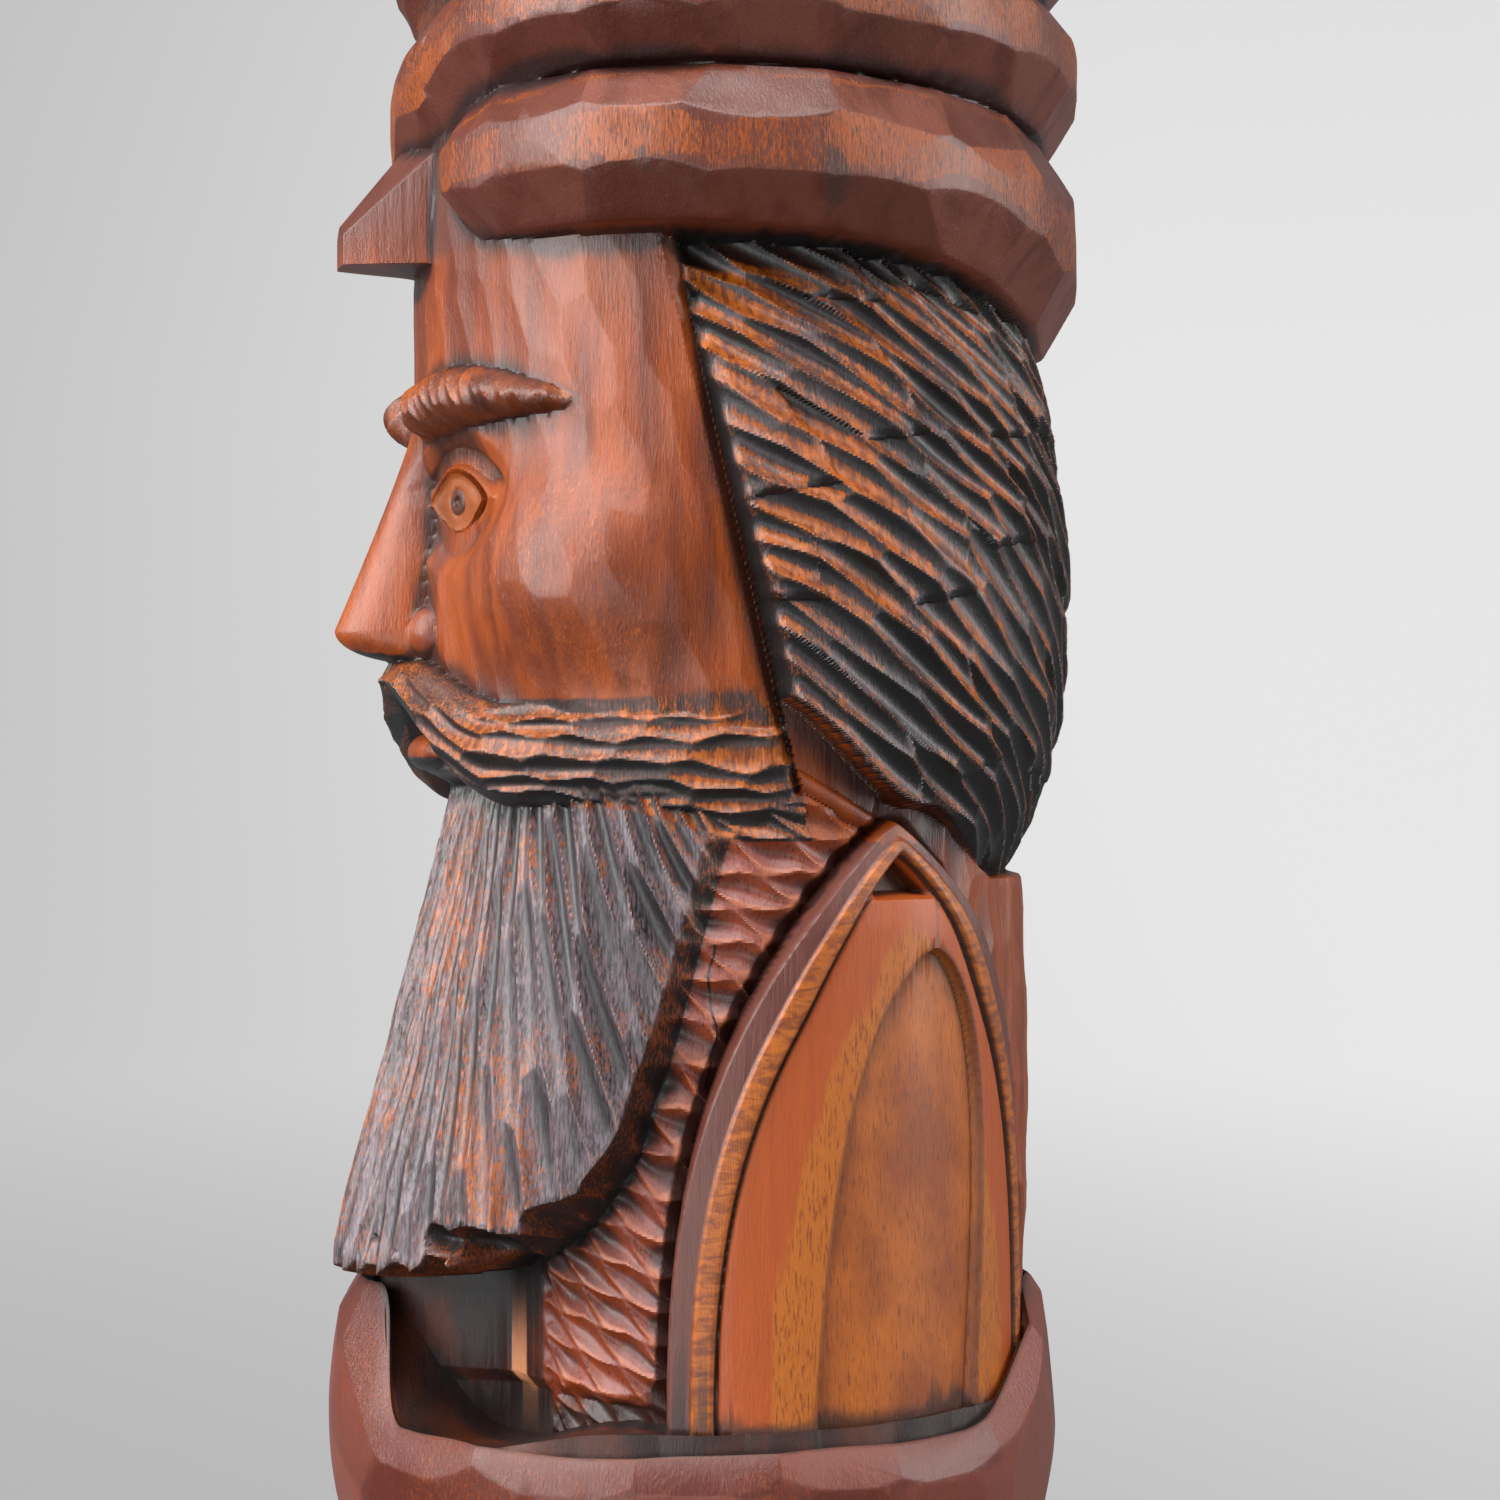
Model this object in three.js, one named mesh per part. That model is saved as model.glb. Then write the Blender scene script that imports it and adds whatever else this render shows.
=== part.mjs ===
// A totem pole section carved from one round log: a bearded man in a wound turban with a peak and a plume,
// standing in a basin on a low foot. Millimetres, +Z up, the man looks along -Y, the origin is the middle of
// the flat underside.
//
// Every carved form is a radius measured from the log's own axis. turn is the angle round the log in degrees:
// 0 is the front, +90 the man's left. side is the same angle without its sign, because the man is the same on
// both sides, apart from his turban, which winds round him.
import * as THREE from "three";

// ---- driving sizes ----
const FOOT = { radius: 109, height: 30, chamfer: 4, cove: 102, coveHeight: 36 };
const BASIN = { radius: 126, forward: 2.5, widestAt: 135, taper: 0.003, edge: 3, wall: 6, clear: 1.5 };
const BASIN_CUTS = { round: 34, rows: 3, wander: 5, depth: 1.5 };
const RIM = { side: 141, frontRise: 41, frontTurns: [15, 33], backRise: 38, backTurns: [122, 162] };
const FLOOR = { front: 134, side: 146, turns: [28, 66], belowRim: 4, backTurns: [142, 160], levelFrom: 198 };
// The wood left standing under the beard joins the chest to the basin's front wall, a little to the right.
const WEB = { turn: -8, radius: 112, turns: [8, 36], top: 200 };

const TORSO = { bottom: 150, top: 342, front: 78, side: 104, back: 110, turns: [18, 95], backTurns: [110, 160] };
const SCALES = { row: 10.7, width: 18, rise: 2.2, between: 1.2 };
const ARM = { centre: 112, lean: 0, halfTurn: 41, base: 150, reach: 187, along: 2.5, across: 1.18 };
const ARM_INNER = { centre: 112, lean: 6, halfTurn: 16.5, base: 150, reach: 146, along: 3.6, across: 1.6 };
const SLEEVE = { radius: 110, swell: 5, swellTurn: 45, fall: 6, fallHeights: [300, 340], groove: 5, edge: 3 };
const SLEEVE_RIM = { width: 14, topWidth: 9, heights: [270, 330], rise: 2 };
const SLEEVE_PANEL = { hoodHeights: [310, 316], hood: 9, hoodEdge: 3, recess: 4 };
const COLLAR = { turn: 93, z: 351, slope: 1, halfWidth: 3, rise: 2, back: 113 };

const BEARD = { centre: 0, lean: -22, halfTurn: 82, base: 330, reach: -148, along: 8, across: 2.4 };
const BEARD_RADIUS = { chin: 85, tip: 127, top: 345, bottom: 192, side: 104, sideTip: 113, edge: 4 };
const BEARD_LOCKS = { count: 9, depth: 2.5 };

// The face is in thirds: hairline to brow, brow to nose base, nose base to chin.
const FACE = { radius: 98, temple: 104, hairline: 528, third: 70 };
const BROW = { z: FACE.hairline - 58, arch: 4, halfHeight: 12, halfTurn: 34, fade: 22, swell: 11 };
const EYE_Z = FACE.hairline - 1.25 * FACE.third;
const NOSE_BASE_Z = FACE.hairline - 2 * FACE.third;
const MOUTH_Z = NOSE_BASE_Z - FACE.third / 3;
const EYE = { across: 33, halfWidth: 17, halfHeight: 9, ball: 6, lid: 3, lidAt: 1.2, lidWidth: 0.3 };
const EYE_HOLLOW = { halfWidth: 31, halfHeight: 24, depth: 9 };
const NOSE = { tip: 126, rootZ: BROW.z - 4, tipZ: NOSE_BASE_Z + 11, rootHalf: 9, tipHalf: 16, bridge: 100 };
const WING = { across: 13, above: 9, radius: 9, centre: 99 };
const CHEEK = { turn: 53, z: 415, halfTurn: 30, halfHeight: 40, swell: 12 };
const LIP = { halfWidth: 24, halfHeight: 6.5, swell: 8 };
const MOUSTACHE = { top: 384, low: 358, sweep: 38, sag: 4, thin: 8, thick: 17, back: 24, backTurns: [60, 88] };
const MOUSTACHE_RISE = { root: 96, backRoot: 98, swell: 15, backSwell: 9, parting: 3 };

const HAIR = { crown: 127, fullestAt: 418, above: 0.0021, below: 0.000021, temple: 0.935 };
const HAIR_FRONT = { turn: 73, at: 513, slope: 0.13, groove: 5, edge: 3 };
const HAIR_LOW = { front: 378, shoulder: 341, nape: 317, turns: [86, 117, 143], edge: 1 };
const HAIR_LOCKS = { width: 46, rise: 3, slope: 0.7, curl: 0.0016 };

const TURBAN = { core: 97, backCore: 114, front: 106.5, side: 128, back: 130, bulge: 15, thin: 10 };
const TURBAN_CORE = { heights: [522, 552], turns: [80, 135] };
const TURBAN_START = { turn: 18, thumb: 14, end: 640, tail: 60 };
const TURBAN_RISE = { base: 547.5, perTurn: 50, from: 275, to: 405 };
const TURBAN_HALF = { front: 24.5, back: 34.5 };
const TURBAN_DROOP = { first: 21, second: 12, sharpness: 5 };
const TURBAN_CUTS = { round: 20, rises: [-0.66, 0, 0.66], scatter: 0.25 };
const TOP_ROLL = { z: 637, halfHeight: 26, fadeTurns: [42, 78] };
const PEAK = { root: 103, tip: 124.5, under: 521, tipTop: 534.5, rootTop: 561, rootHalf: 18, tipHalf: 7 };
const PLUME = { blades: 5, halfTurn: 62, from: 598, top: 684, root: 92, ridge: 4, notch: 26 };
const PLUME_CURL = { out: 20, outBy: 0.6, back: 22, backFrom: 0.55 };
const CROWN = { radius: 92, from: 640, top: 698, round: 3 };

// How closely the faces follow the carving: degrees between columns, and the heights of the rings.
const COLUMNS = { plain: 36, even: [[0, 5], [105, 10], [145, 12]], scan: 1.5, closest: 0.5, clear: 3 };
const MATCHING = { furthest: 16, inStep: 2, reliefWeight: 4 };
const SCALE_ROWS = Math.round((TORSO.top - TORSO.bottom) / SCALES.row);
const TORSO_RINGS = { from: TORSO.bottom, to: TORSO.top, count: SCALE_ROWS * 2 };
const HEAD_RINGS = { from: TORSO.top, to: 518, count: 17 };
const TURBAN_RINGS = { from: 518, to: 664, count: 15 };
const CROWN_RINGS = { from: 664, to: 697, count: 3 };

const DEG = Math.PI / 180;
const mm = (degrees, radius = TORSO.side) => degrees * DEG * radius;

// ---- small helpers ----
const clamp = (x) => Math.min(1, Math.max(0, x));
const mix = (a, b, t) => a + (b - a) * t;
const ease = (from, to, x) => {
  const t = clamp((x - from) / (to - from));
  return t * t * (3 - 2 * t);
};
// 0 outside an edge, rising round a quarter circle to 1 at that width inside it.
const roundOver = (inside, width) => Math.sqrt(1 - (1 - clamp(inside / width)) ** 2);
// A dome from 1 in the middle to 0 at a distance of 1 and beyond.
const dome = (distance) => Math.sqrt(Math.max(0, 1 - distance * distance));
// A repeatable number from 0 to 1 for each tool cut.
const chance = (a, b) => {
  const x = Math.sin(a * 127.1 + b * 311.7) * 43758.5453;
  return x - Math.floor(x);
};
const spread = (from, to, count) => Array.from({ length: count }, (_, i) => mix(from, to, i / count));

const sideOf = (turn) => Math.abs(((((turn + 180) % 360) + 360) % 360) - 180);

// How far a point lies inside a rounded arch or tongue, in millimetres, negative outside it.
function insideLobe(lobe, side, z) {
  const along = Math.max(0, (z - lobe.base) / lobe.reach);
  const across = Math.abs(side - lobe.centre - lobe.lean * along) / lobe.halfTurn;
  const edgeAcross = Math.max(0, 1 - along ** lobe.along) ** (1 / lobe.across);
  const edgeAlong = Math.max(0, 1 - across ** lobe.across) ** (1 / lobe.along);
  const a = mm(lobe.halfTurn) * (edgeAcross - across);
  const b = Math.abs(lobe.reach) * (edgeAlong - along);
  const distance = Math.abs(a * b) / Math.max(1e-6, Math.hypot(a, b));
  return a > 0 && b > 0 ? distance : -distance;
}

// Flat knife cuts on a round form: each cut is the tangent plane at one spot, and the wood left is what is
// inside all the planes near it. heights(column, turn) lists the spots' heights in one column of cuts. The
// form's slopes are taken over a small step of turn and of height.
const STEP = { turn: 0.4, height: 0.8 };
function flatCuts(form, columns, heights, turn, z) {
  const pitch = 360 / columns;
  const here = Math.floor(turn / pitch);
  let least = Infinity;
  for (let step = -1; step <= 1; step++) {
    const column = here + step;
    const name = ((column % columns) + columns) % columns;
    heights(name, (column + 0.5) * pitch).forEach((height, row) => {
      const spot = (column + 0.5 + 0.5 * (chance(name, row) - 0.5)) * pitch;
      const radius = form(spot, height);
      const roundStep = form(spot + STEP.turn, height) - form(spot - STEP.turn, height);
      const bySide = roundStep / (2 * STEP.turn * DEG * radius);
      const upStep = form(spot, height + STEP.height) - form(spot, height - STEP.height);
      const byHeight = upStep / (2 * STEP.height);
      const apart = (turn - spot) * DEG;
      const plane = (radius + byHeight * (z - height)) / (Math.cos(apart) - bySide * Math.sin(apart));
      least = Math.min(least, plane);
    });
  }
  return least;
}

// ---- basin ----
const frontRise = (turn) => 1 - ease(...RIM.frontTurns, Math.abs(turn - WEB.turn));
const rimHeight = (turn) =>
  RIM.side + RIM.frontRise * frontRise(turn) + RIM.backRise * ease(...RIM.backTurns, Math.abs(turn));

// The wall stands a little further forward than the man, bulges out below and draws in towards the rim.
const basinForm = (turn, z) =>
  BASIN.radius + BASIN.forward * Math.cos(turn * DEG) - BASIN.taper * (z - BASIN.widestAt) ** 2;

// The floor rises nearly to the rim in front, under the beard, and behind, where the wall meets the back.
function floorHeight(turn) {
  const side = Math.abs(turn);
  const open = mix(FLOOR.front, FLOOR.side, ease(...FLOOR.turns, side));
  const closed = Math.max(1 - ease(...WEB.turns, Math.abs(turn - WEB.turn)), ease(...FLOOR.backTurns, side));
  return mix(open, rimHeight(turn) - FLOOR.belowRim, closed);
}

// The hollow's wall inside the rim, which always stands clear of the body.
function basinInner(turn) {
  const lip = basinForm(turn, rimHeight(turn)) - BASIN.edge;
  const body = bodyRadius(turn, Math.max(TORSO.bottom, floorHeight(turn)));
  return Math.min(lip - BASIN.clear, Math.max(lip - BASIN.wall, body + BASIN.clear));
}

// ---- torso and sleeves ----
const scaleBand = (side, z) => Math.min(-insideLobe(ARM, side, z), ARM.centre - side);

// Rows of scales, each row's scales half a width along from the next row's.
function scaleRise(side, z) {
  const row = Math.floor(z / SCALES.row);
  const across = Math.abs(Math.cos(Math.PI * (mm(side) / SCALES.width + row / 2)));
  return SCALES.rise * Math.sin(Math.PI * (z / SCALES.row - row)) - SCALES.between * (1 - across);
}

// A thin collar runs down and back over the shoulder, above the scales.
const collarHeight = (side) => COLLAR.z - COLLAR.slope * (side - COLLAR.turn);
const collarRise = (side, z) =>
  side < COLLAR.back ? COLLAR.rise * dome((z - collarHeight(side)) / COLLAR.halfWidth) : 0;

function torsoRadius(side, z) {
  const round = mix(TORSO.front, TORSO.side, ease(...TORSO.turns, side));
  const back = (TORSO.back - TORSO.side) * ease(...TORSO.backTurns, side);
  const shoulders = 3 * ease(120, 160, side) * (1 - ((z - 240) / 90) ** 2);
  const onScales = scaleBand(side, z) > SLEEVE.groove && z < collarHeight(side) - COLLAR.halfWidth;
  const scales = onScales ? scaleRise(side, z) * ease(30, 40, side) : 0;
  return round + back + shoulders + scales + collarRise(side, z);
}

// The sleeve's rim is two strips wide below and narrows round the top of the arch.
const rimWidth = (z) => mix(SLEEVE_RIM.width, SLEEVE_RIM.topWidth, ease(...SLEEVE_RIM.heights, z));

function sleeveRadius(side, z) {
  const inside = insideLobe(ARM, side, z);
  const chest = torsoRadius(side, z) - SLEEVE.groove * (1 - clamp(-inside / SLEEVE.groove));
  if (inside <= 0) return chest;
  const swell = SLEEVE.swell * (1 - ((side - ARM.centre) / SLEEVE.swellTurn) ** 2);
  const round = SLEEVE.radius + swell - SLEEVE.fall * ease(...SLEEVE.fallHeights, z);
  const past = inside - rimWidth(z);
  const rim = SLEEVE_RIM.rise * (1 - ease(0, 2, past));
  const underHood = ease(...SLEEVE_PANEL.hoodHeights, z) * ease(0, SLEEVE_PANEL.hoodEdge, past);
  const recess = SLEEVE_PANEL.recess * ease(0, SLEEVE.edge, insideLobe(ARM_INNER, side, z));
  return mix(chest, round + rim - SLEEVE_PANEL.hood * underHood - recess, roundOver(inside, SLEEVE.edge));
}

// ---- beard and moustache ----
function beardRadius(side, z) {
  const fall = clamp((BEARD_RADIUS.top - z) / (BEARD_RADIUS.top - BEARD_RADIUS.bottom));
  const front = mix(BEARD_RADIUS.chin, BEARD_RADIUS.tip, fall);
  const flank = mix(BEARD_RADIUS.side, BEARD_RADIUS.sideTip, fall);
  const lock = Math.abs(Math.cos((side / BEARD.halfTurn) * (BEARD_LOCKS.count / 2) * Math.PI));
  return mix(front, flank, ease(6, 66, side)) - BEARD_LOCKS.depth * fall * (1 - lock);
}

function withMoustache(radius, side, z) {
  const sweep = 1 - ease(0, MOUSTACHE.sweep, side);
  const atBack = ease(...MOUSTACHE.backTurns, side);
  const middle = mix(MOUSTACHE.low, MOUSTACHE.top, sweep) - MOUSTACHE.sag * atBack;
  const half = mix(MOUSTACHE.thick, MOUSTACHE.thin, sweep) + (MOUSTACHE.back - MOUSTACHE.thick) * atBack;
  if (Math.abs(z - middle) > half) return radius;
  const parting = ease(0, MOUSTACHE_RISE.parting, side);
  const swell = mix(MOUSTACHE_RISE.swell, MOUSTACHE_RISE.backSwell, ease(10, 60, side)) * parting;
  const root = mix(MOUSTACHE_RISE.root, MOUSTACHE_RISE.backRoot, ease(30, 70, side));
  return Math.max(radius, root + swell * dome((z - middle) / half));
}

// ---- face: plain thirds, the eyes one eye's width apart ----
function noseRadius(radius, across, z) {
  const drop = (NOSE.rootZ - z) / (NOSE.rootZ - NOSE.tipZ);
  if (drop < 0) return radius;
  const half = mix(NOSE.rootHalf, NOSE.tipHalf, clamp(drop));
  const under = dome(clamp((NOSE.tipZ - z) / (NOSE.tipZ - NOSE_BASE_Z)));
  const ridge = mix(NOSE.bridge, NOSE.tip, clamp(drop) ** 1.1);
  const slope = 1 - clamp(across / half) ** 1.6;
  const fromWing = Math.hypot(across - WING.across, z - NOSE_BASE_Z - WING.above);
  const wing = WING.centre + WING.radius * dome(fromWing / WING.radius) - WING.radius / 2;
  return Math.max(mix(radius, mix(radius, ridge, under), slope), wing);
}

function faceRadius(side, z) {
  const across = FACE.radius * Math.sin(Math.min(side, 90) * DEG);
  const skull = mix(FACE.radius, FACE.temple, ease(25, 70, side));
  let radius = skull - 4 * (1 - ease(MOUTH_Z, NOSE_BASE_Z + 8, z)) * (1 - ease(10, 40, side));

  const eyeAcross = across - EYE.across;
  const hollow = Math.hypot(eyeAcross / EYE_HOLLOW.halfWidth, (z - EYE_Z) / EYE_HOLLOW.halfHeight);
  const almond = Math.hypot(eyeAcross / EYE.halfWidth, (z - EYE_Z) / EYE.halfHeight);
  const lids = EYE.lid * Math.exp(-(((almond - EYE.lidAt) / EYE.lidWidth) ** 2));
  radius += EYE.ball * dome(almond) + lids - EYE_HOLLOW.depth * dome(hollow) ** 3;

  const cheek = Math.hypot((side - CHEEK.turn) / CHEEK.halfTurn, (z - CHEEK.z) / CHEEK.halfHeight);
  radius += CHEEK.swell * dome(cheek) ** 2.4;

  const browMiddle = BROW.z + BROW.arch * Math.sin(clamp(side / 52) * Math.PI);
  const pastBrow = Math.max(0, side - BROW.halfTurn) / BROW.fade;
  const brow = dome(Math.hypot((z - browMiddle) / BROW.halfHeight, pastBrow));
  radius = Math.max(radius, skull - 4 + (BROW.swell + 4) * brow);
  radius = noseRadius(radius, across, z);

  const lip = dome(Math.hypot(across / LIP.halfWidth, (z - MOUTH_Z + LIP.halfHeight) / LIP.halfHeight));
  return Math.max(radius, FACE.radius - 5 + LIP.swell * lip);
}

// ---- hair ----
const hairFront = (z) => HAIR_FRONT.turn + (HAIR_FRONT.at - z) * HAIR_FRONT.slope;
function hairLow(side) {
  const [temple, shoulder, nape] = HAIR_LOW.turns;
  const toShoulder = mix(HAIR_LOW.front, HAIR_LOW.shoulder, ease(temple, shoulder, side));
  return toShoulder + (HAIR_LOW.nape - HAIR_LOW.shoulder) * ease(shoulder, nape, side);
}

// Broad locks sweep back and down from the hairline.
function hairLocks(side, z) {
  const back = mm(side - hairFront(z), 118);
  const flow = z + HAIR_LOCKS.slope * back + HAIR_LOCKS.curl * back * back;
  const across = flow / Math.hypot(1, HAIR_LOCKS.slope);
  return HAIR_LOCKS.rise * Math.cos((2 * Math.PI * across) / HAIR_LOCKS.width);
}

function hairRadius(side, z) {
  const away = z - HAIR.fullestAt;
  const full = HAIR.crown - (away > 0 ? HAIR.above * away ** 2 : HAIR.below * (-away) ** 3);
  return full * mix(HAIR.temple, 1, ease(75, 150, side)) + hairLocks(side, z);
}

// ---- turban ----
// How far along its winding the cloth is, at a turn round the head.
const woundTo = (turn) => (((turn - TURBAN_START.turn) % 360) + 360) % 360;
// Where a winding's middle runs and how far it reaches up and down: it climbs one winding over the brow, and
// both laps hang lower behind, where the first one is taller.
function windingAt(wound) {
  const first = ease(TURBAN_RISE.from, TURBAN_RISE.to, wound);
  const second = ease(TURBAN_RISE.from + 360, TURBAN_RISE.to + 360, wound);
  const back = ((1 - Math.cos((wound + TURBAN_START.turn) * DEG)) / 2) ** TURBAN_DROOP.sharpness;
  const droop = mix(TURBAN_DROOP.first, TURBAN_DROOP.second, first) * back;
  return {
    middle: TURBAN_RISE.base + TURBAN_RISE.perTurn * (first + second) - droop,
    half: mix(TURBAN_HALF.front, TURBAN_HALF.back, back * (1 - first)),
  };
}
function rollPeak(turn) {
  const side = sideOf(turn);
  const round = mix(TURBAN.front, TURBAN.side, ease(12, 75, side));
  return round + (TURBAN.back - TURBAN.side) * ease(120, 170, side);
}
// One roll of cloth, cut flat all over. rollAt gives its middle and half height at each turn, and size is its
// share of full size there.
function rollRadius(rollAt, size, turn, z) {
  const { middle, half } = rollAt(turn);
  if (size <= 0 || Math.abs(z - middle) >= half * size) return 0;
  const form = (spot, height) => {
    const roll = rollAt(spot);
    const rise = Math.abs((height - roll.middle) / (roll.half * size));
    return rollPeak(spot) - TURBAN.thin * (1 - size) - TURBAN.bulge * rise ** 2.2;
  };
  const heights = (column, spot) =>
    TURBAN_CUTS.rises.map((rise, row) => {
      const roll = rollAt(spot);
      return roll.middle + roll.half * size * (rise + TURBAN_CUTS.scatter * (chance(column, row + 3) - 0.5));
    });
  return flatCuts(form, TURBAN_CUTS.round, heights, turn, z);
}

// The cloth starts in a blunt thumb over one temple, and its other end dies away behind the plume.
function windingRadius(wound, z) {
  const size = roundOver(wound, TURBAN_START.thumb) * roundOver(TURBAN_START.end - wound, TURBAN_START.tail);
  return rollRadius((turn) => windingAt(turn - TURBAN_START.turn), size, wound + TURBAN_START.turn, z);
}

function peakRadius(side, z) {
  const across = PEAK.root * Math.sin(side * DEG);
  if (z < PEAK.under || z > PEAK.rootTop || side > 20) return 0;
  const bySide = (PEAK.rootHalf - across) / (PEAK.rootHalf - PEAK.tipHalf);
  const byTop = (PEAK.rootTop - z - 0.5 * across) / (PEAK.rootTop - PEAK.tipTop);
  return PEAK.root + (PEAK.tip - PEAK.root) * Math.min(1, bySide, byTop);
}

function plumeRadius(turn, z) {
  if (Math.abs(turn) > PLUME.halfTurn || z < PLUME.from) return 0;
  const blade = ((turn + PLUME.halfTurn) / (2 * PLUME.halfTurn)) * PLUME.blades;
  const off = Math.abs(blade - Math.floor(blade) - 0.5) * 2;
  if (z > PLUME.top - PLUME.notch * off ** 1.6) return 0;
  const climb = (z - PLUME.from) / (PLUME.top - PLUME.from);
  const out = PLUME_CURL.out * Math.sin((clamp(climb / PLUME_CURL.outBy) * Math.PI) / 2);
  const back = PLUME_CURL.back * ease(PLUME_CURL.backFrom, 1, climb);
  return PLUME.root + out - back + PLUME.ridge * (1 - 2 * off);
}

const crownRadius = (z) =>
  CROWN.radius * Math.sqrt(Math.max(0, 1 - clamp((z - CROWN.from) / (CROWN.top - CROWN.from)) ** CROWN.round));

// ---- the whole figure ----
const behindHairFront = (side, z) => mm(side - hairFront(z), 110);
const aboveHairLow = (side, z) => (behindHairFront(side, z) > 0 ? z - hairLow(side) : z - BEARD_RADIUS.top);

function bodyRadius(turn, z) {
  const side = Math.abs(turn);
  const web = z < WEB.top ? 1 - ease(...WEB.turns, Math.abs(turn - WEB.turn)) : 0;
  const chest = mix(sleeveRadius(side, z), WEB.radius, web);
  const inBeard = roundOver(insideLobe(BEARD, side, z), BEARD_RADIUS.edge);
  const body = mix(chest, Math.max(chest, beardRadius(side, z)), inBeard);
  return behindHairFront(side, z) < 0 ? withMoustache(body, side, z) : body;
}

function headRadius(side, z) {
  const jaw = mix(beardRadius(side, z), FACE.temple, ease(40, 80, side));
  const face = mix(jaw, faceRadius(side, z), ease(MOUTH_Z - 18, MOUTH_Z - 12, z));
  const behind = behindHairFront(side, z);
  const groove = HAIR_FRONT.groove * (1 - clamp(Math.abs(behind) / HAIR_FRONT.groove));
  return mix(withMoustache(face, side, z), hairRadius(side, z), ease(-1, HAIR_FRONT.edge, behind)) - groove;
}

function figureRadius(turn, z) {
  const side = Math.abs(turn);
  const inHead = ease(-HAIR_LOW.edge, HAIR_LOW.edge, aboveHairLow(side, z));
  const carved = mix(bodyRadius(turn, z), headRadius(side, z), inHead);
  const core = mix(TURBAN.core, TURBAN.backCore, ease(...TURBAN_CORE.turns, side));
  const capped = mix(carved, core, ease(...TURBAN_CORE.heights, z));
  const wound = woundTo(turn);
  const topRoll = Math.sqrt(ease(...TOP_ROLL.fadeTurns, side));
  return Math.max(
    z > CROWN.from ? crownRadius(z) : capped,
    windingRadius(wound, z),
    windingRadius(wound + 360, z),
    rollRadius(() => ({ middle: TOP_ROLL.z, half: TOP_ROLL.halfHeight }), topRoll, turn, z),
    peakRadius(side, z),
    plumeRadius(turn, z),
  );
}

// ---- rings of points, closed into one solid ----
// Carved outlines that the faces follow: each is a line of columns where its value is nought.
const outlines = {
  beardFoot: (side, z) => insideLobe(BEARD, side, z),
  beardFace: (side, z) => insideLobe(BEARD, side, z) - BEARD_RADIUS.edge,
  groove: (side, z) => (side < ARM.centre ? insideLobe(ARM, side, z) + SLEEVE.groove : 1),
  sleeveFoot: (side, z) => insideLobe(ARM, side, z),
  sleeveRim: (side, z) => insideLobe(ARM, side, z) - SLEEVE.edge,
  rimInner: (side, z) => insideLobe(ARM, side, z) - rimWidth(z),
  panel: (side, z) => insideLobe(ARM_INNER, side, z),
  panelFloor: (side, z) => insideLobe(ARM_INNER, side, z) - SLEEVE.edge,
  hairUnder: (side, z) => aboveHairLow(side, z) + HAIR_LOW.edge,
  hairOver: (side, z) => aboveHairLow(side, z) - HAIR_LOW.edge,
  hairline: (side, z) => (z > TORSO.top ? behindHairFront(side, z) : 1),
  hairFace: (side, z) => (z > TORSO.top ? behindHairFront(side, z) - HAIR_FRONT.edge : 1),
};

// Where a ring crosses an outline, from the front to the back.
function crossings([name, outline], z) {
  const found = [];
  for (let side = 0; side < 180; side += COLUMNS.scan) {
    let [low, high] = [side, side + COLUMNS.scan];
    const start = outline(low, z) > 0;
    if (start === outline(high, z) > 0) continue;
    for (let halving = 0; halving < 8; halving++) {
      const middle = (low + high) / 2;
      if (outline(middle, z) > 0 === start) low = middle;
      else high = middle;
    }
    found.push({ side: low, name: `${name} ${start}` });
  }
  return found;
}

function evenSides() {
  const sides = [];
  for (let side = 0; side < 175; ) {
    sides.push({ side });
    side += COLUMNS.even.findLast(([from]) => side >= from)[1];
  }
  return sides;
}

// The sides of a level ring: those where it crosses a carved outline, and even ones well clear of them.
function carvedSides(z) {
  const edges = Object.entries(outlines).flatMap((outline) => crossings(outline, z));
  const kept = [];
  for (const edge of edges.sort((a, b) => a.side - b.side)) {
    const last = kept.length ? kept.at(-1).side : COLUMNS.clear - COLUMNS.closest;
    if (edge.side - last > COLUMNS.closest && edge.side < 180 - COLUMNS.clear) kept.push(edge);
  }
  const clear = ({ side }) => side === 0 || kept.every((edge) => Math.abs(edge.side - side) > COLUMNS.clear);
  return [...evenSides().filter(clear), ...kept].sort((a, b) => a.side - b.side);
}

// Both halves of a ring, from the middle of the back round to just short of it again.
function bothHalves(sides) {
  const right = sides.filter(({ side }) => side > 0).reverse();
  const back = { turn: -180, name: "back" };
  return [
    back,
    ...right.map(({ side, name }) => ({ turn: -side, name: name && `right ${name}` })),
    ...sides.map(({ side, name }) => ({ turn: side, name: side === 0 ? "front" : name })),
  ];
}

const ringOf = (columns, radiusAt, heightAt) =>
  columns.map(({ turn, name }) => ({ turn, name, radius: radiusAt(turn), z: heightAt(turn) }));

// A ring at one level, except low on the body, where the rings rise with the hollow's floor.
function carvedRing(level) {
  const share = clamp((level - TORSO.bottom) / (FLOOR.levelFrom - TORSO.bottom));
  const heightAt = (turn) => (share < 1 ? mix(floorHeight(turn), FLOOR.levelFrom, share) : level);
  return ringOf(bothHalves(carvedSides(level)), (turn) => figureRadius(turn, heightAt(turn)), heightAt);
}

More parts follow.
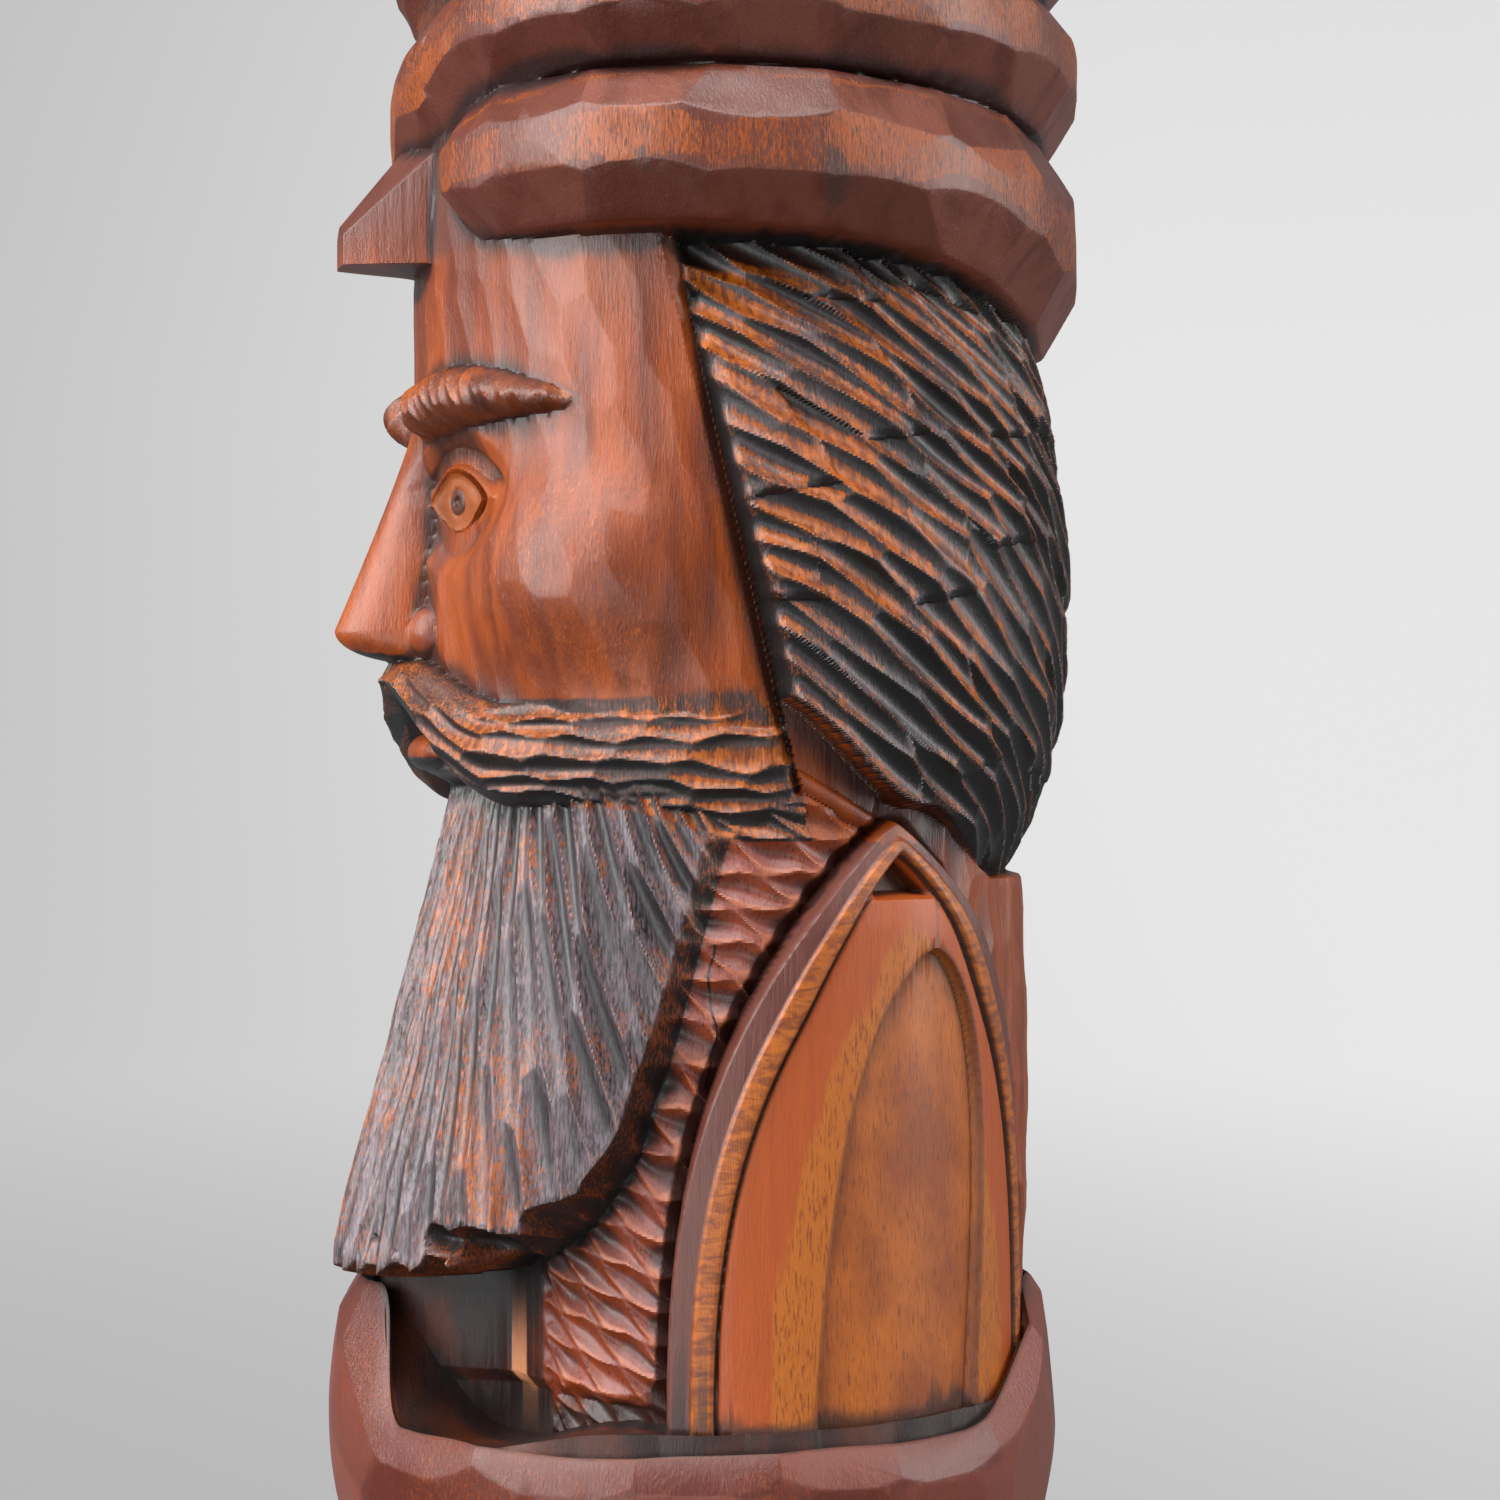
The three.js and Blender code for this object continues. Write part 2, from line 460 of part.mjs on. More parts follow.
// The basin's wall is cut in big flats: its points wander a little from even rows and columns.
function wallRing(row) {
  return spread(-180, 180, BASIN_CUTS.round).map((even, column) => {
    const turn = column === 0 ? even : even + BASIN_CUTS.wander * (chance(column, row) - 0.5);
    const share = (row + 1 + 0.5 * (chance(column, row + 9) - 0.5)) / (BASIN_CUTS.rows + 1);
    const z = mix(FOOT.coveHeight, rimHeight(turn) - BASIN.edge, share);
    return { turn, radius: basinForm(turn, z) - BASIN_CUTS.depth * chance(column, row + 5), z };
  });
}

function poleRings() {
  const plain = spread(-180, 180, COLUMNS.plain).map((turn) => ({ turn }));
  const even = bothHalves(evenSides());
  const lipFoot = (turn) => rimHeight(turn) - BASIN.edge;
  const level = (columns, radius, z) => ringOf(columns, () => radius, () => z);
  const rings = (zone) => spread(zone.from, zone.to, zone.count).map(carvedRing);
  return [
    level(plain, FOOT.radius - FOOT.chamfer, 0),
    level(plain, FOOT.radius, FOOT.chamfer),
    level(plain, FOOT.radius, FOOT.height),
    level(plain, FOOT.cove, FOOT.coveHeight),
    ...Array.from({ length: BASIN_CUTS.rows }, (_, row) => wallRing(row)),
    ringOf(even, (turn) => basinForm(turn, lipFoot(turn)), lipFoot),
    ringOf(even, (turn) => basinForm(turn, rimHeight(turn)) - BASIN.edge, rimHeight),
    ringOf(even, basinInner, (turn) => mix(floorHeight(turn), rimHeight(turn), 0.1)),
    ...rings(TORSO_RINGS),
    ...rings(HEAD_RINGS),
    ...rings(TURBAN_RINGS),
    ...rings(CROWN_RINGS),
    carvedRing(CROWN_RINGS.to),
  ];
}

// The stretches between columns of the same name, in step on two rings, as index pairs.
function matchedStretches(lower, upper) {
  const stretches = [];
  let [from, to] = [0, 0];
  lower.forEach(({ name }, i) => {
    const j = name ? upper.findIndex((column, at) => at >= to && column.name === name) : -1;
    const near = j >= 0 && Math.abs(upper[j].turn - lower[i].turn) < MATCHING.furthest;
    if (!near || (i === from && j === to)) return;
    stretches.push([from, i, to, j]);
    [from, to] = [i, j];
  });
  return [...stretches, [from, lower.length, to, upper.length]];
}

const turnAt = (ring, i) => (i < ring.length ? ring[i].turn : 180);

// Joins two rings of different counts. Where both keep in step, the next edge is the one that follows the
// relief.
function stitchPair(lower, upper, addFace) {
  const relief = (i, j) => {
    const [from, to] = [lower[i % lower.length], upper[j % upper.length]];
    const along = mm(turnAt(lower, i) - turnAt(upper, j));
    return Math.hypot(along, from.z - to.z, MATCHING.reliefWeight * (from.radius - to.radius));
  };
  for (const [fromLow, toLow, fromHigh, toHigh] of matchedStretches(lower, upper)) {
    const share = (ring, i, from, to) =>
      (turnAt(ring, i) - turnAt(ring, from)) / Math.max(1e-9, turnAt(ring, to) - turnAt(ring, from));
    let [i, j] = [fromLow, fromHigh];
    while (i < toLow || j < toHigh) {
      const width = turnAt(lower, toLow) - turnAt(lower, fromLow);
      const lowNext = i < toLow ? share(lower, i + 1, fromLow, toLow) : Infinity;
      const highNext = j < toHigh ? share(upper, j + 1, fromHigh, toHigh) : Infinity;
      const lead = (lowNext - highNext) * width;
      const stepLow = Math.abs(lead) < MATCHING.inStep ? relief(i + 1, j) < relief(i, j + 1) : lead < 0;
      if (stepLow) addFace(["low", i], ["low", i + 1], ["high", j]);
      else addFace(["low", i], ["high", j + 1], ["high", j]);
      if (stepLow) i++;
      else j++;
    }
  }
}

function stitch(rings) {
  const points = rings.flat().map(({ turn, radius, z }) => {
    return new THREE.Vector3(radius * Math.sin(turn * DEG), -radius * Math.cos(turn * DEG), z);
  });
  const starts = rings.map((_, i) => rings.slice(0, i).reduce((sum, ring) => sum + ring.length, 0));
  const index = (ring, i) => starts[ring] + (i % rings[ring].length);
  const faces = [];
  for (let ring = 0; ring + 1 < rings.length; ring++) {
    const place = ([which, i]) => index(which === "low" ? ring : ring + 1, i);
    stitchPair(rings[ring], rings[ring + 1], (...corners) => faces.push(...corners.map(place)));
  }
  const bottom = points.push(new THREE.Vector3(0, 0, 0)) - 1;
  const top = points.push(new THREE.Vector3(0, 0, CROWN.top)) - 1;
  const last = rings.length - 1;
  rings[0].forEach((_, i) => faces.push(bottom, index(0, i + 1), index(0, i)));
  rings[last].forEach((_, i) => faces.push(top, index(last, i), index(last, i + 1)));
  const geometry = new THREE.BufferGeometry().setFromPoints(points);
  geometry.setIndex(faces);
  geometry.computeVertexNormals();
  return geometry;
}

const wood = new THREE.MeshStandardMaterial({ color: 0x6b2f18, roughness: 0.42, metalness: 0 });
const pole = new THREE.Mesh(stitch(poleRings()), wood);
pole.name = "carved_pole";

const totem = new THREE.Group();
totem.add(pole);
export default totem;
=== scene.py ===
# A totem pole section carved from one round log, stained and varnished: a bearded man in a wound turban,
# standing in a basin. The whole carving is one skin with every tool cut in it. It is parted at level cuts
# only to keep each piece a handy size.
import math
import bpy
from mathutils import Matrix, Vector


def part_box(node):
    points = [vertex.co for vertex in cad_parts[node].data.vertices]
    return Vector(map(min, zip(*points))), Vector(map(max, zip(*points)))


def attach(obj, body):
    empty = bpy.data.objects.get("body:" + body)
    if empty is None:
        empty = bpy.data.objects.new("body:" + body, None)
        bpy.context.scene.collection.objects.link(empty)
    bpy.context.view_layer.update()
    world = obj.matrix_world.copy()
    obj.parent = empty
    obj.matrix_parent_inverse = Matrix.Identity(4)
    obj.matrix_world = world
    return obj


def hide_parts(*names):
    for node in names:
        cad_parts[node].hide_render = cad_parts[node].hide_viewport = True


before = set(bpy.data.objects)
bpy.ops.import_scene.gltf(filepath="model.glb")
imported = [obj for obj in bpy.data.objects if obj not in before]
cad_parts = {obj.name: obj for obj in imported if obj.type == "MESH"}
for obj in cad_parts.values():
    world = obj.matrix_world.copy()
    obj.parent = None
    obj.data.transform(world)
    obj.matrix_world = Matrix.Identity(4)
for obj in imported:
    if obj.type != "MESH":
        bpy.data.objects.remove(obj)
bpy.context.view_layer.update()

from types import SimpleNamespace as Sizes

import bpy
import numpy as np

# ---- driving sizes, in millimetres and degrees ----
# turn is the angle round the log: 0 is the front and +90 the man's left. side is turn without its sign.
# A pair named turns or heights says where a change starts and where it is complete.
NODE = "carved_pole"
MM = 0.001
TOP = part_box(NODE)[1].z / MM

FOOT = Sizes(radius=109, height=30, chamfer=4, cove_height=36, flats=26, flat=1.2)
BASIN = Sizes(radius=126, forward=2.5, widest_at=135, taper=0.003, edge=3, wall=6, clear=1.5,
              scoop=1.3, scoops=14)
BASIN_CUTS = Sizes(round=17, lean=0.02, lean_height=14, lean_row=0.3, inset=12, stray=(8, 12, 6),
                   shrink=3.0, clear=1.3)
RIM = Sizes(side=141, front_rise=41, front=(15, 33), back_rise=38, back=(122, 162), round=1.5,
            wave=1.6, wave_turn=19, wave_start=(24, 36), wave_end=(150, 170))
FLOOR = Sizes(front=134, side=146, turns=(28, 66), below_rim=4, back=(142, 160), level_from=198, dip=1.2)
WEB = Sizes(turn=-8, radius=112, turns=(8, 36), top=200, scoop=2.5, scoops=9, scoop_turn=4,
            taper=0.05, taper_from=182)
# Beside the web one flat cut is bare wood, and the chest in the beard's shade gets the same painted shade as
# the hollow.
WEB_BLOCK = Sizes(turns=(25.5, 32), heights=(147, 168))
UNDER_BEARD = Sizes(turn=39, top=210)

TORSO = Sizes(bottom=150, front=78, side=104, back=110, turns=(18, 95), back_turns=(110, 160))
BACK = Sizes(swell=3, swell_turns=(120, 160), swell_at=240, swell_half=90,
             cut_width=13, cut_length=34, cut_depth=1.3, wander=0.2)
SCALES = Sizes(row=10.7, width=19, depth=3.0, rise=1.2, slant=0.66, tilt=0.16, tilt_heights=(300, 190),
               scallop=0.1, wander=0.7, wander_size=26, from_turn=(38, 42))
ARM = Sizes(centre=112, lean=0, half_turn=41, base=150, reach=187, along=2.5, across=1.18)
ARM_INNER = Sizes(centre=112, lean=6, half_turn=16.5, base=150, reach=146, along=3.6, across=1.6)
SLEEVE = Sizes(radius=110, swell=5, swell_turn=45, fall=6, fall_heights=(300, 340), groove=4.5, edge=1.6)
SLEEVE_PLANED = Sizes(depth=0.4, width=16, length=70, plain=4)
SLEEVE_RIM = Sizes(width=15, top_width=9, heights=(270, 330), step=1.5, slit=1.6, slit_half=0.8, dark=0.53)
PANEL = Sizes(hood_heights=(311.5, 314.5), hood=9, hood_edge=2.5, recess=3.8, recess_edge=1.6)
COLLAR = Sizes(turn=93, z=351, slope=1, half_width=3, rise=2, back=113, edge=1.5)

BEARD = Sizes(centre=0, lean=-22, half_turn=82, base=330, reach=-148, along=8, across=2.4)
BEARD_FORM = Sizes(chin=85, tip=127, top=345, bottom=192, side=104, side_tip=113, turns=(6, 66))
BEARD_WALL = Sizes(width=8, thick=15, thick_heights=(232, 205), scoop_height=7.0, scoop_turn=9.0,
                   under=3.0, under_heights=(203, 192), under_round=0.5)
BEARD_EDGE = Sizes(scoop=4.5, lanes=2, heights=(275, 235))
BEARD_FLUTES = Sizes(turn=3.1, fan=0.0045, depth=2.6, length=60, lock_count=9, lock_depth=1.4,
                     wander=0.9, wander_turn=9, wander_height=70)

FACE = Sizes(radius=98, temple=104, turns=(25, 70), chin=4, chin_turns=(10, 40), jaw_turns=(40, 80),
             hairline=528, third=70)
FACE_CUTS = Sizes(rise=0.4, width=15, lean=0.3, length=34, depth=0.8)
BROW = Sizes(z=FACE.hairline - 58, arch=4, arch_turn=52, half_height=12, half_turn=34, fade=22, swell=11,
             root=4, apart=(2, 10), taper=0.45, taper_turns=(18, 56), cut=5.4, cut_long=17, cut_deep=1.8)
EYE_Z = FACE.hairline - 1.25 * FACE.third
NOSE_BASE_Z = FACE.hairline - 2 * FACE.third
MOUTH_Z = NOSE_BASE_Z - FACE.third / 3
EYE = Sizes(across=33, half_width=17, half_height=9.5, ball=6, iris=4.4, iris_cut=0.5, pupil=1.8,
            pupil_cut=1.6)
LIDS = Sizes(rise=3.6, at=1.17, width=0.2, heights=(-4, 6), fold=1.6, fold_at=1.75, fold_width=0.14,
             fold_heights=(0, 8))
EYE_HOLLOW = Sizes(half_width=31, half_height=24, depth=9)
NOSE = Sizes(tip=126, root_z=BROW.z - 4, tip_z=NOSE_BASE_Z + 11, root_half=9, tip_half=16, bridge=100)
WING = Sizes(across=13, above=10, radius=11, centre=99)
CHEEK = Sizes(turn=53, z=415, half_turn=30, half_height=40, swell=12)
LIP = Sizes(half_width=24, half_height=6.5, swell=8, sunk=5)
MOUSTACHE = Sizes(top=384, low=358, sweep=38, sag=4, thin=8, thick=17, back=24, back_turns=(60, 88))
MOUSTACHE_RISE = Sizes(root=96, back_root=98, root_turns=(30, 70), swell=15, back_swell=9,
                       swell_turns=(10, 60), parting=3)
MOUSTACHE_CUTS = Sizes(width=5.6, length=24, depth=2.2, wander=0.45, wander_width=22, wander_height=11,
                       fan=0.0035, fan_from=70)

HAIR = Sizes(crown=127, fullest_at=418, above=0.0021, below=0.000021, temple=0.935, temple_turns=(75, 150))
HAIR_FRONT = Sizes(turn=73, at=513, slope=0.13, radius=110, groove=4, edge=3)
HAIR_LOW = Sizes(front=378, shoulder=341, nape=317, turns=(86, 117, 143))
HAIR_FLOW = Sizes(radius=118, slope=0.62, curl=0.0014, droop=0.0012, droop_from=440,
                  across=1.2, back=0.85, down=0.52)
HAIR_CUTS = Sizes(width=9.2, depth=3.6, length=42, tuft=4, tuft_length=66, point=0.3, rise=1.8, plump=1.2,
                  wander=0.6, wander_size=48, warp=0.25, warp_size=50)

TURBAN = Sizes(core=97, back_core=114, core_turns=(80, 135), core_from=522, core_rise=30,
               front=106.5, side=128, side_turns=(12, 75), back=130, back_turns=(120, 170),
               bulge=15, thin=10)
TURBAN_CUTS = Sizes(round=19, rows=(-0.62, 0.05, 0.68), stray=0.4, depth=0.6, clear=0.3,
                    wall=3.2, wall_from=0.96, wobble=0.25, wobble_turn=7, wobble_height=8)
CLOTH = Sizes(start=18, thumb=14, end=640, tail=60, base=547.5, climb=50, climb_turns=(275, 405))
CLOTH_HANG = Sizes(half=24.5, back_half=34.5, droop=21, second_droop=12, sharpness=5)
TOP_ROLL = Sizes(z=637, half_height=26, fade=(42, 78))
PEAK = Sizes(root=103, tip=124.5, under=521, tip_top=534.5, root_top=561, root_half=18, tip_half=7,
             slope=0.5, half_turn=20)
PLUME = Sizes(blades=5, half_turn=62, start=598, top=684, root=92, ridge=4, notch=26,
              barb=0.8, barb_height=3.4, barb_slant=18)
PLUME_CURL = Sizes(out=20, out_by=0.6, back=22, back_from=0.55)
CROWN = Sizes(radius=92, start=640, cap=688, middle=2)
CROWN_CUTS = Sizes(width=17, length=40, depth=1.6, plain=(2, 12))

# Old damage: a crack that wanders down the chest, and chips cut out of the turban. Each chip has a turn,
# a height and its half width and half height.
CRACK = Sizes(turn=79, bottom=252, top=298, wander=2.2, wander_height=9, half_width=0.4)
CHIPS = ((69, 540, 2.0, 7.5), (96.5, 536, 5.0, 11.0), (61, 604, 4.0, 6.0), (24, 543, 3.0, 4.0))

# STEP is how far to either side a form's slope is taken. GOUGE is how far a scoop reaches from its middle,
# in lane widths and cut lengths, so that neighbours overlap.
STEP = Sizes(turn=0.4, height=0.8)
GOUGE = Sizes(spread=0.62, reach=0.6)

# How far the marks look round a point: for fine ridges, for the painted shade in creases, and up from the
# basin's floor, where the corner also gets painted shade.
RELIEF = Sizes(fine=2.4, proud=1.4, broad=8, crease=3.4, floor=152, floor_dark=7)

# The skin: points round the log, the step between rows, and the length that each plain band's rows cover.
COLUMNS = 1120
ROW_STEP = 0.68
BANDS = Sizes(foot=12, basin=80, lip=4, inner_wall=30, floor=14, crown=40, fewest=4)
MOST_TRIANGLES = 690000
ZONES = ["foot", "basin", "hollow", "figure"]
STAINS_AND_SHADE = ["turban", "hair", "beard", "moustache", "brow", "chest", "block", "hollow", "basin", "eye", "iris"]
PARTS = ["carved_foot", "carved_chest", "carved_beard", "carved_hair", "carved_turban"]


# ---- small helpers on arrays ----
def clamp(x):
    return np.clip(x, 0.0, 1.0)


def mix(a, b, t):
    return a + (b - a) * t


def ease(start, end, x):
    """0 up to start and 1 from end on, smooth between. start may be the larger."""
    t = clamp((x - start) / (end - start))
    return t * t * (3 - 2 * t)


def round_over(inside, width):
    """0 outside an edge, rising round a quarter circle to 1 at that width inside it."""
    return np.sqrt(1 - (1 - clamp(inside / width)) ** 2)


def dome(distance):
    """The height of a unit dome at a distance from its middle, 0 outside it."""
    return np.sqrt(np.maximum(0, 1 - distance * distance))


def chance(a, b, c=0.0):
    """A repeatable number from 0 to 1 for each tool cut."""
    x = np.sin(a * 127.1 + b * 311.7 + c * 74.7) * 43758.5453
    return x - np.floor(x)


def ripple(x, y, seed):
    """Smooth noise from -1 to 1, one swell to each unit of x and y."""
    i, j = np.floor(x), np.floor(y)
    u, v = x - i, y - j
    u, v = u * u * (3 - 2 * u), v * v * (3 - 2 * v)
    low = mix(chance(i, j, seed), chance(i + 1, j, seed), u)
    high = mix(chance(i, j + 1, seed), chance(i + 1, j + 1, seed), u)
    return 2 * mix(low, high, v) - 1


def arc(degrees, radius=TORSO.side):
    """A turn as a length along the surface."""
    return degrees * (math.pi / 180) * radius


def inside_lobe(lobe, side, z):
    """How far a point lies inside a rounded arch or tongue, in millimetres, negative outside it."""
    along = np.maximum(0, (z - lobe.base) / lobe.reach)
    across = np.abs(side - lobe.centre - lobe.lean * along) / lobe.half_turn
    edge_across = np.maximum(0, 1 - along ** lobe.along) ** (1 / lobe.across)
    edge_along = np.maximum(0, 1 - across ** lobe.across) ** (1 / lobe.along)
    a = arc(lobe.half_turn) * (edge_across - across)
    b = abs(lobe.reach) * (edge_along - along)
    distance = np.abs(a * b) / np.maximum(1e-6, np.hypot(a, b))
    return np.where((a > 0) & (b > 0), distance, -distance)


def flat_cuts(form, columns, heights, turn, z, tones):
    """Flat knife cuts on a round form: the wood left is what lies inside all the planes near a point.
    tones takes each point's cut: the whole number is its row, and the rest is a tone of its own."""
    pitch = 360 / columns
    here = np.floor(turn / pitch)
    least = np.full(turn.shape, np.inf)
    for step in (-1, 0, 1):
        column = here + step
        name = np.mod(column, columns)
        for row, height in enumerate(heights(name, (column + 0.5) * pitch)):
            spot = (column + 0.5 + 0.5 * (chance(name, row) - 0.5)) * pitch
            radius = form(spot, height)
            by_side = form(spot + STEP.turn, height) - form(spot - STEP.turn, height)
            by_side = by_side / (arc(2 * STEP.turn, 1) * radius)
            by_height = form(spot, height + STEP.height) - form(spot, height - STEP.height)
            by_height = by_height / (2 * STEP.height)
            apart = arc(turn - spot, 1)
            plane = (radius + by_height * (z - height)) / (np.cos(apart) - by_side * np.sin(apart))
            tones[...] = np.where(plane < least, row + 0.98 * chance(name, row, 5), tones)
            least = np.minimum(least, plane)
    return least


def gouge_cuts(across, along, depth, seed):
    """Scooped cuts like long leaves, side by side: across counts the lanes and along the cuts in a lane.
    Where two meet the wood between stands as a ridge. Each bites deepest near its start."""
    before, after = 0.86 * GOUGE.reach, 1.14 * GOUGE.reach
    lane, deepest = np.floor(across), np.zeros_like(across)
    for step in (-1, 0, 1):
        row = lane + step
        start = along + 0.5 * np.mod(row, 2) + 0.4 * chance(row, seed)
        cut = np.floor(start)
        beyond = cut + np.where(start - cut < 0.5, -1, 1)
        for name in (cut, beyond):
            ahead = start - name - 0.5 + 0.12 * GOUGE.reach
            ahead = ahead / np.where(ahead < 0, before, after)
            aside = (across - row - 0.5 - 0.25 * (chance(row, name, seed) - 0.5)) / GOUGE.spread
            deep = depth * (0.75 + 0.5 * chance(row, name, seed + 1)) * (1 - aside ** 2 - ahead ** 2)
            deepest = np.maximum(deepest, deep)
    return -deepest


# ---- basin ----
def front_share(turn, turns):
    """1 over the wood left standing under the beard, falling to 0 past it."""
    return 1 - ease(*turns, np.abs(turn - WEB.turn))


def rim_height(turn):
    side = np.abs(turn)
    rise = RIM.front_rise * front_share(turn, RIM.front) + RIM.back_rise * ease(*RIM.back, side)
    wave = ripple(turn / RIM.wave_turn, np.zeros_like(turn), 3)
    wave = wave * ease(*RIM.wave_start, side) * (1 - ease(*RIM.wave_end, side))
    return RIM.side + rise + RIM.wave * wave


def basin_form(turn, z):
    """The wall stands a little further forward than the man, and draws in towards the rim."""
    forward = BASIN.forward * np.cos(np.radians(turn))
    return BASIN.radius + forward - BASIN.taper * (z - BASIN.widest_at) ** 2


def basin_radius(turn, z, tones):
    """The wall's outside, cut in big flats, with a shorter row of cuts that lean in at the rim."""
    def form(at, height):
        rim = rim_height(np.mod(at + 180, 360) - 180)
        lean = np.maximum(0, height - rim + BASIN_CUTS.lean_height)
        return basin_form(at, height) - BASIN_CUTS.shrink - BASIN_CUTS.lean * lean ** 2

    def heights(column, at):
        rim = rim_height(np.mod(at + 180, 360) - 180)
        below = rim - BASIN_CUTS.lean_height
        high, middle, low = BASIN_CUTS.stray
        return (
            rim - BASIN_CUTS.lean_row * BASIN_CUTS.lean_height,
            below - BASIN_CUTS.inset - high * chance(column, 7),
            mix(FOOT.cove_height, below, 0.5) + middle * (chance(column, 8) - 0.5),
            FOOT.cove_height + BASIN_CUTS.inset + low * chance(column, 9),
        )

    cut = flat_cuts(form, BASIN_CUTS.round, heights, turn, z, tones)
    return np.minimum(cut, basin_form(turn, z) - BASIN_CUTS.clear)


def floor_height(turn):
    """The floor rises nearly to the rim in front, under the beard, and where the wall meets the back."""
    side = np.abs(turn)
    open_floor = mix(FLOOR.front, FLOOR.side, ease(*FLOOR.turns, side))
    closed = np.maximum(front_share(turn, WEB.turns), ease(*FLOOR.back, side))
    return mix(open_floor, rim_height(turn) - FLOOR.below_rim, closed)


def basin_inner(turn):
    """The hollow's wall inside the rim, scooped by the gouge, which always stands clear of the body."""
    lip = basin_form(turn, rim_height(turn)) - BASIN.edge
    body = body_radius(turn, np.maximum(TORSO.bottom, floor_height(turn)))
    scoops = BASIN.scoop * (1 - np.abs(np.cos(np.radians(turn) * BASIN.scoops)))
    return np.minimum(lip - BASIN.clear, np.maximum(lip - BASIN.wall - scoops, body + BASIN.clear))


# ---- torso and sleeves ----
def scale_cuts(side, z):
    """Rows of slanting scoops, each half a width along from the row above, that tilt down towards the arm."""
    s = arc(side)
    wander = SCALES.wander * ripple(s / SCALES.wander_size, z / SCALES.wander_size, 8)
    level = (z + SCALES.tilt * ease(*SCALES.tilt_heights, z) * s + wander) / SCALES.row
    level = level + SCALES.scallop * np.abs(np.sin(math.pi * s / SCALES.width))
    row = np.floor(level)
    v = level - row
    lean = s / SCALES.width + 0.5 * row - SCALES.slant * (1 - v) ** 1.3 + 0.2 * chance(row, 4)
    scale = np.floor(lean)
    u = lean - scale
    bowl = (1 - np.abs(2 * u - 1) ** 2.6) * (1 - (2 * v ** 1.25 - 1) ** 2)
    return -SCALES.depth * (0.8 + 0.4 * chance(row, scale, 2)) * bowl


def collar_height(side):
    return COLLAR.z - COLLAR.slope * (side - COLLAR.turn)


def torso_radius(side, z, hand):
    """Chest and back: scales in front under a raised collar, long gouge cuts behind the arm."""
    form = mix(TORSO.front, TORSO.side, ease(*TORSO.turns, side))
    form = form + (TORSO.back - TORSO.side) * ease(*TORSO.back_turns, side)
    bow = 1 - ((z - BACK.swell_at) / BACK.swell_half) ** 2
    form = form + BACK.swell * ease(*BACK.swell_turns, side) * bow
    under_collar = ease(0, COLLAR.edge, collar_height(side) - COLLAR.half_width - z)
    on_chest = ease(*SCALES.from_turn, side) * under_collar
    chest = on_chest * (SCALES.rise + scale_cuts(side, z))
    collar = COLLAR.rise * dome((z - collar_height(side)) / COLLAR.half_width) * (side < COLLAR.back)
    across, along = arc(side) / BACK.cut_width + 0.5, z / BACK.cut_length
    across_here = across + BACK.wander * ripple(across, along, 6)
    back = gouge_cuts(across_here, along, BACK.cut_depth, 21 + hand)
    return form + collar + np.where(side < ARM.centre, chest, back)


def rim_width(z):
    """The sleeve's rim is two strips wide below and narrows round the top of the arch."""
    return mix(SLEEVE_RIM.width, SLEEVE_RIM.top_width, ease(*SLEEVE_RIM.heights, z))


def sleeve_radius(side, z, hand):
    """The arched sleeve, from its groove in: a raised rim, a slit, and a hooded panel with a sunk arch."""
    inside = inside_lobe(ARM, side, z)
    chest = torso_radius(side, z, hand) - SLEEVE.groove * (1 - clamp(-inside / SLEEVE.groove))
    swell = SLEEVE.swell * (1 - ((side - ARM.centre) / SLEEVE.swell_turn) ** 2)
    form = SLEEVE.radius + swell - SLEEVE.fall * ease(*SLEEVE.fall_heights, z)
    rim = rim_width(z)
    past = inside - rim
    strip = SLEEVE_RIM.step * ease(0.6, -0.6, past) * ease(-0.5, 0.8, inside - SLEEVE_RIM.dark * rim)
    slit = SLEEVE_RIM.slit * np.exp(-((past / SLEEVE_RIM.slit_half) ** 2))
    hood = PANEL.hood * ease(*PANEL.hood_heights, z) * ease(0, PANEL.hood_edge, past)
    recess = PANEL.recess * ease(0, PANEL.recess_edge, inside_lobe(ARM_INNER, side, z))
    waves = ripple(arc(side) / SLEEVE_PLANED.width, z / SLEEVE_PLANED.length, 12)
    planed = SLEEVE_PLANED.depth * waves * ease(0, SLEEVE_PLANED.plain, past)
    surface = form + strip - slit - hood - recess + planed
    return np.where(inside > 0, mix(chest, surface, round_over(inside, SLEEVE.edge)), chest)


# ---- beard and moustache ----
def beard_lanes(side, z):
    """Counts the flutes from the middle of the beard outwards; they fan out as they fall."""
    fall = BEARD_FORM.top - z
    fan = side / (1 + BEARD_FLUTES.fan * fall * (side / BEARD.half_turn) ** 2)
    wander = BEARD_FLUTES.wander * ripple(fan / BEARD_FLUTES.wander_turn, z / BEARD_FLUTES.wander_height, 31)
    return (fan + wander) / BEARD_FLUTES.turn, fall / BEARD_FLUTES.length


def beard_radius(side, z, hand):
    """The beard's fluted surface, parted in a few broad locks towards its end."""
    fall = clamp((BEARD_FORM.top - z) / (BEARD_FORM.top - BEARD_FORM.bottom))
    front = mix(BEARD_FORM.chin, BEARD_FORM.tip, fall)
    flank = mix(BEARD_FORM.side, BEARD_FORM.side_tip, fall)
    lock = np.abs(np.cos(side / BEARD.half_turn * (BEARD_FLUTES.lock_count / 2) * math.pi))
    across, along = beard_lanes(side, z)
    flutes = gouge_cuts(across, along, BEARD_FLUTES.depth, 33 + 7 * hand)
    form = mix(front, flank, ease(*BEARD_FORM.turns, side))
    return form - BEARD_FLUTES.lock_depth * fall * (1 - lock) + flutes


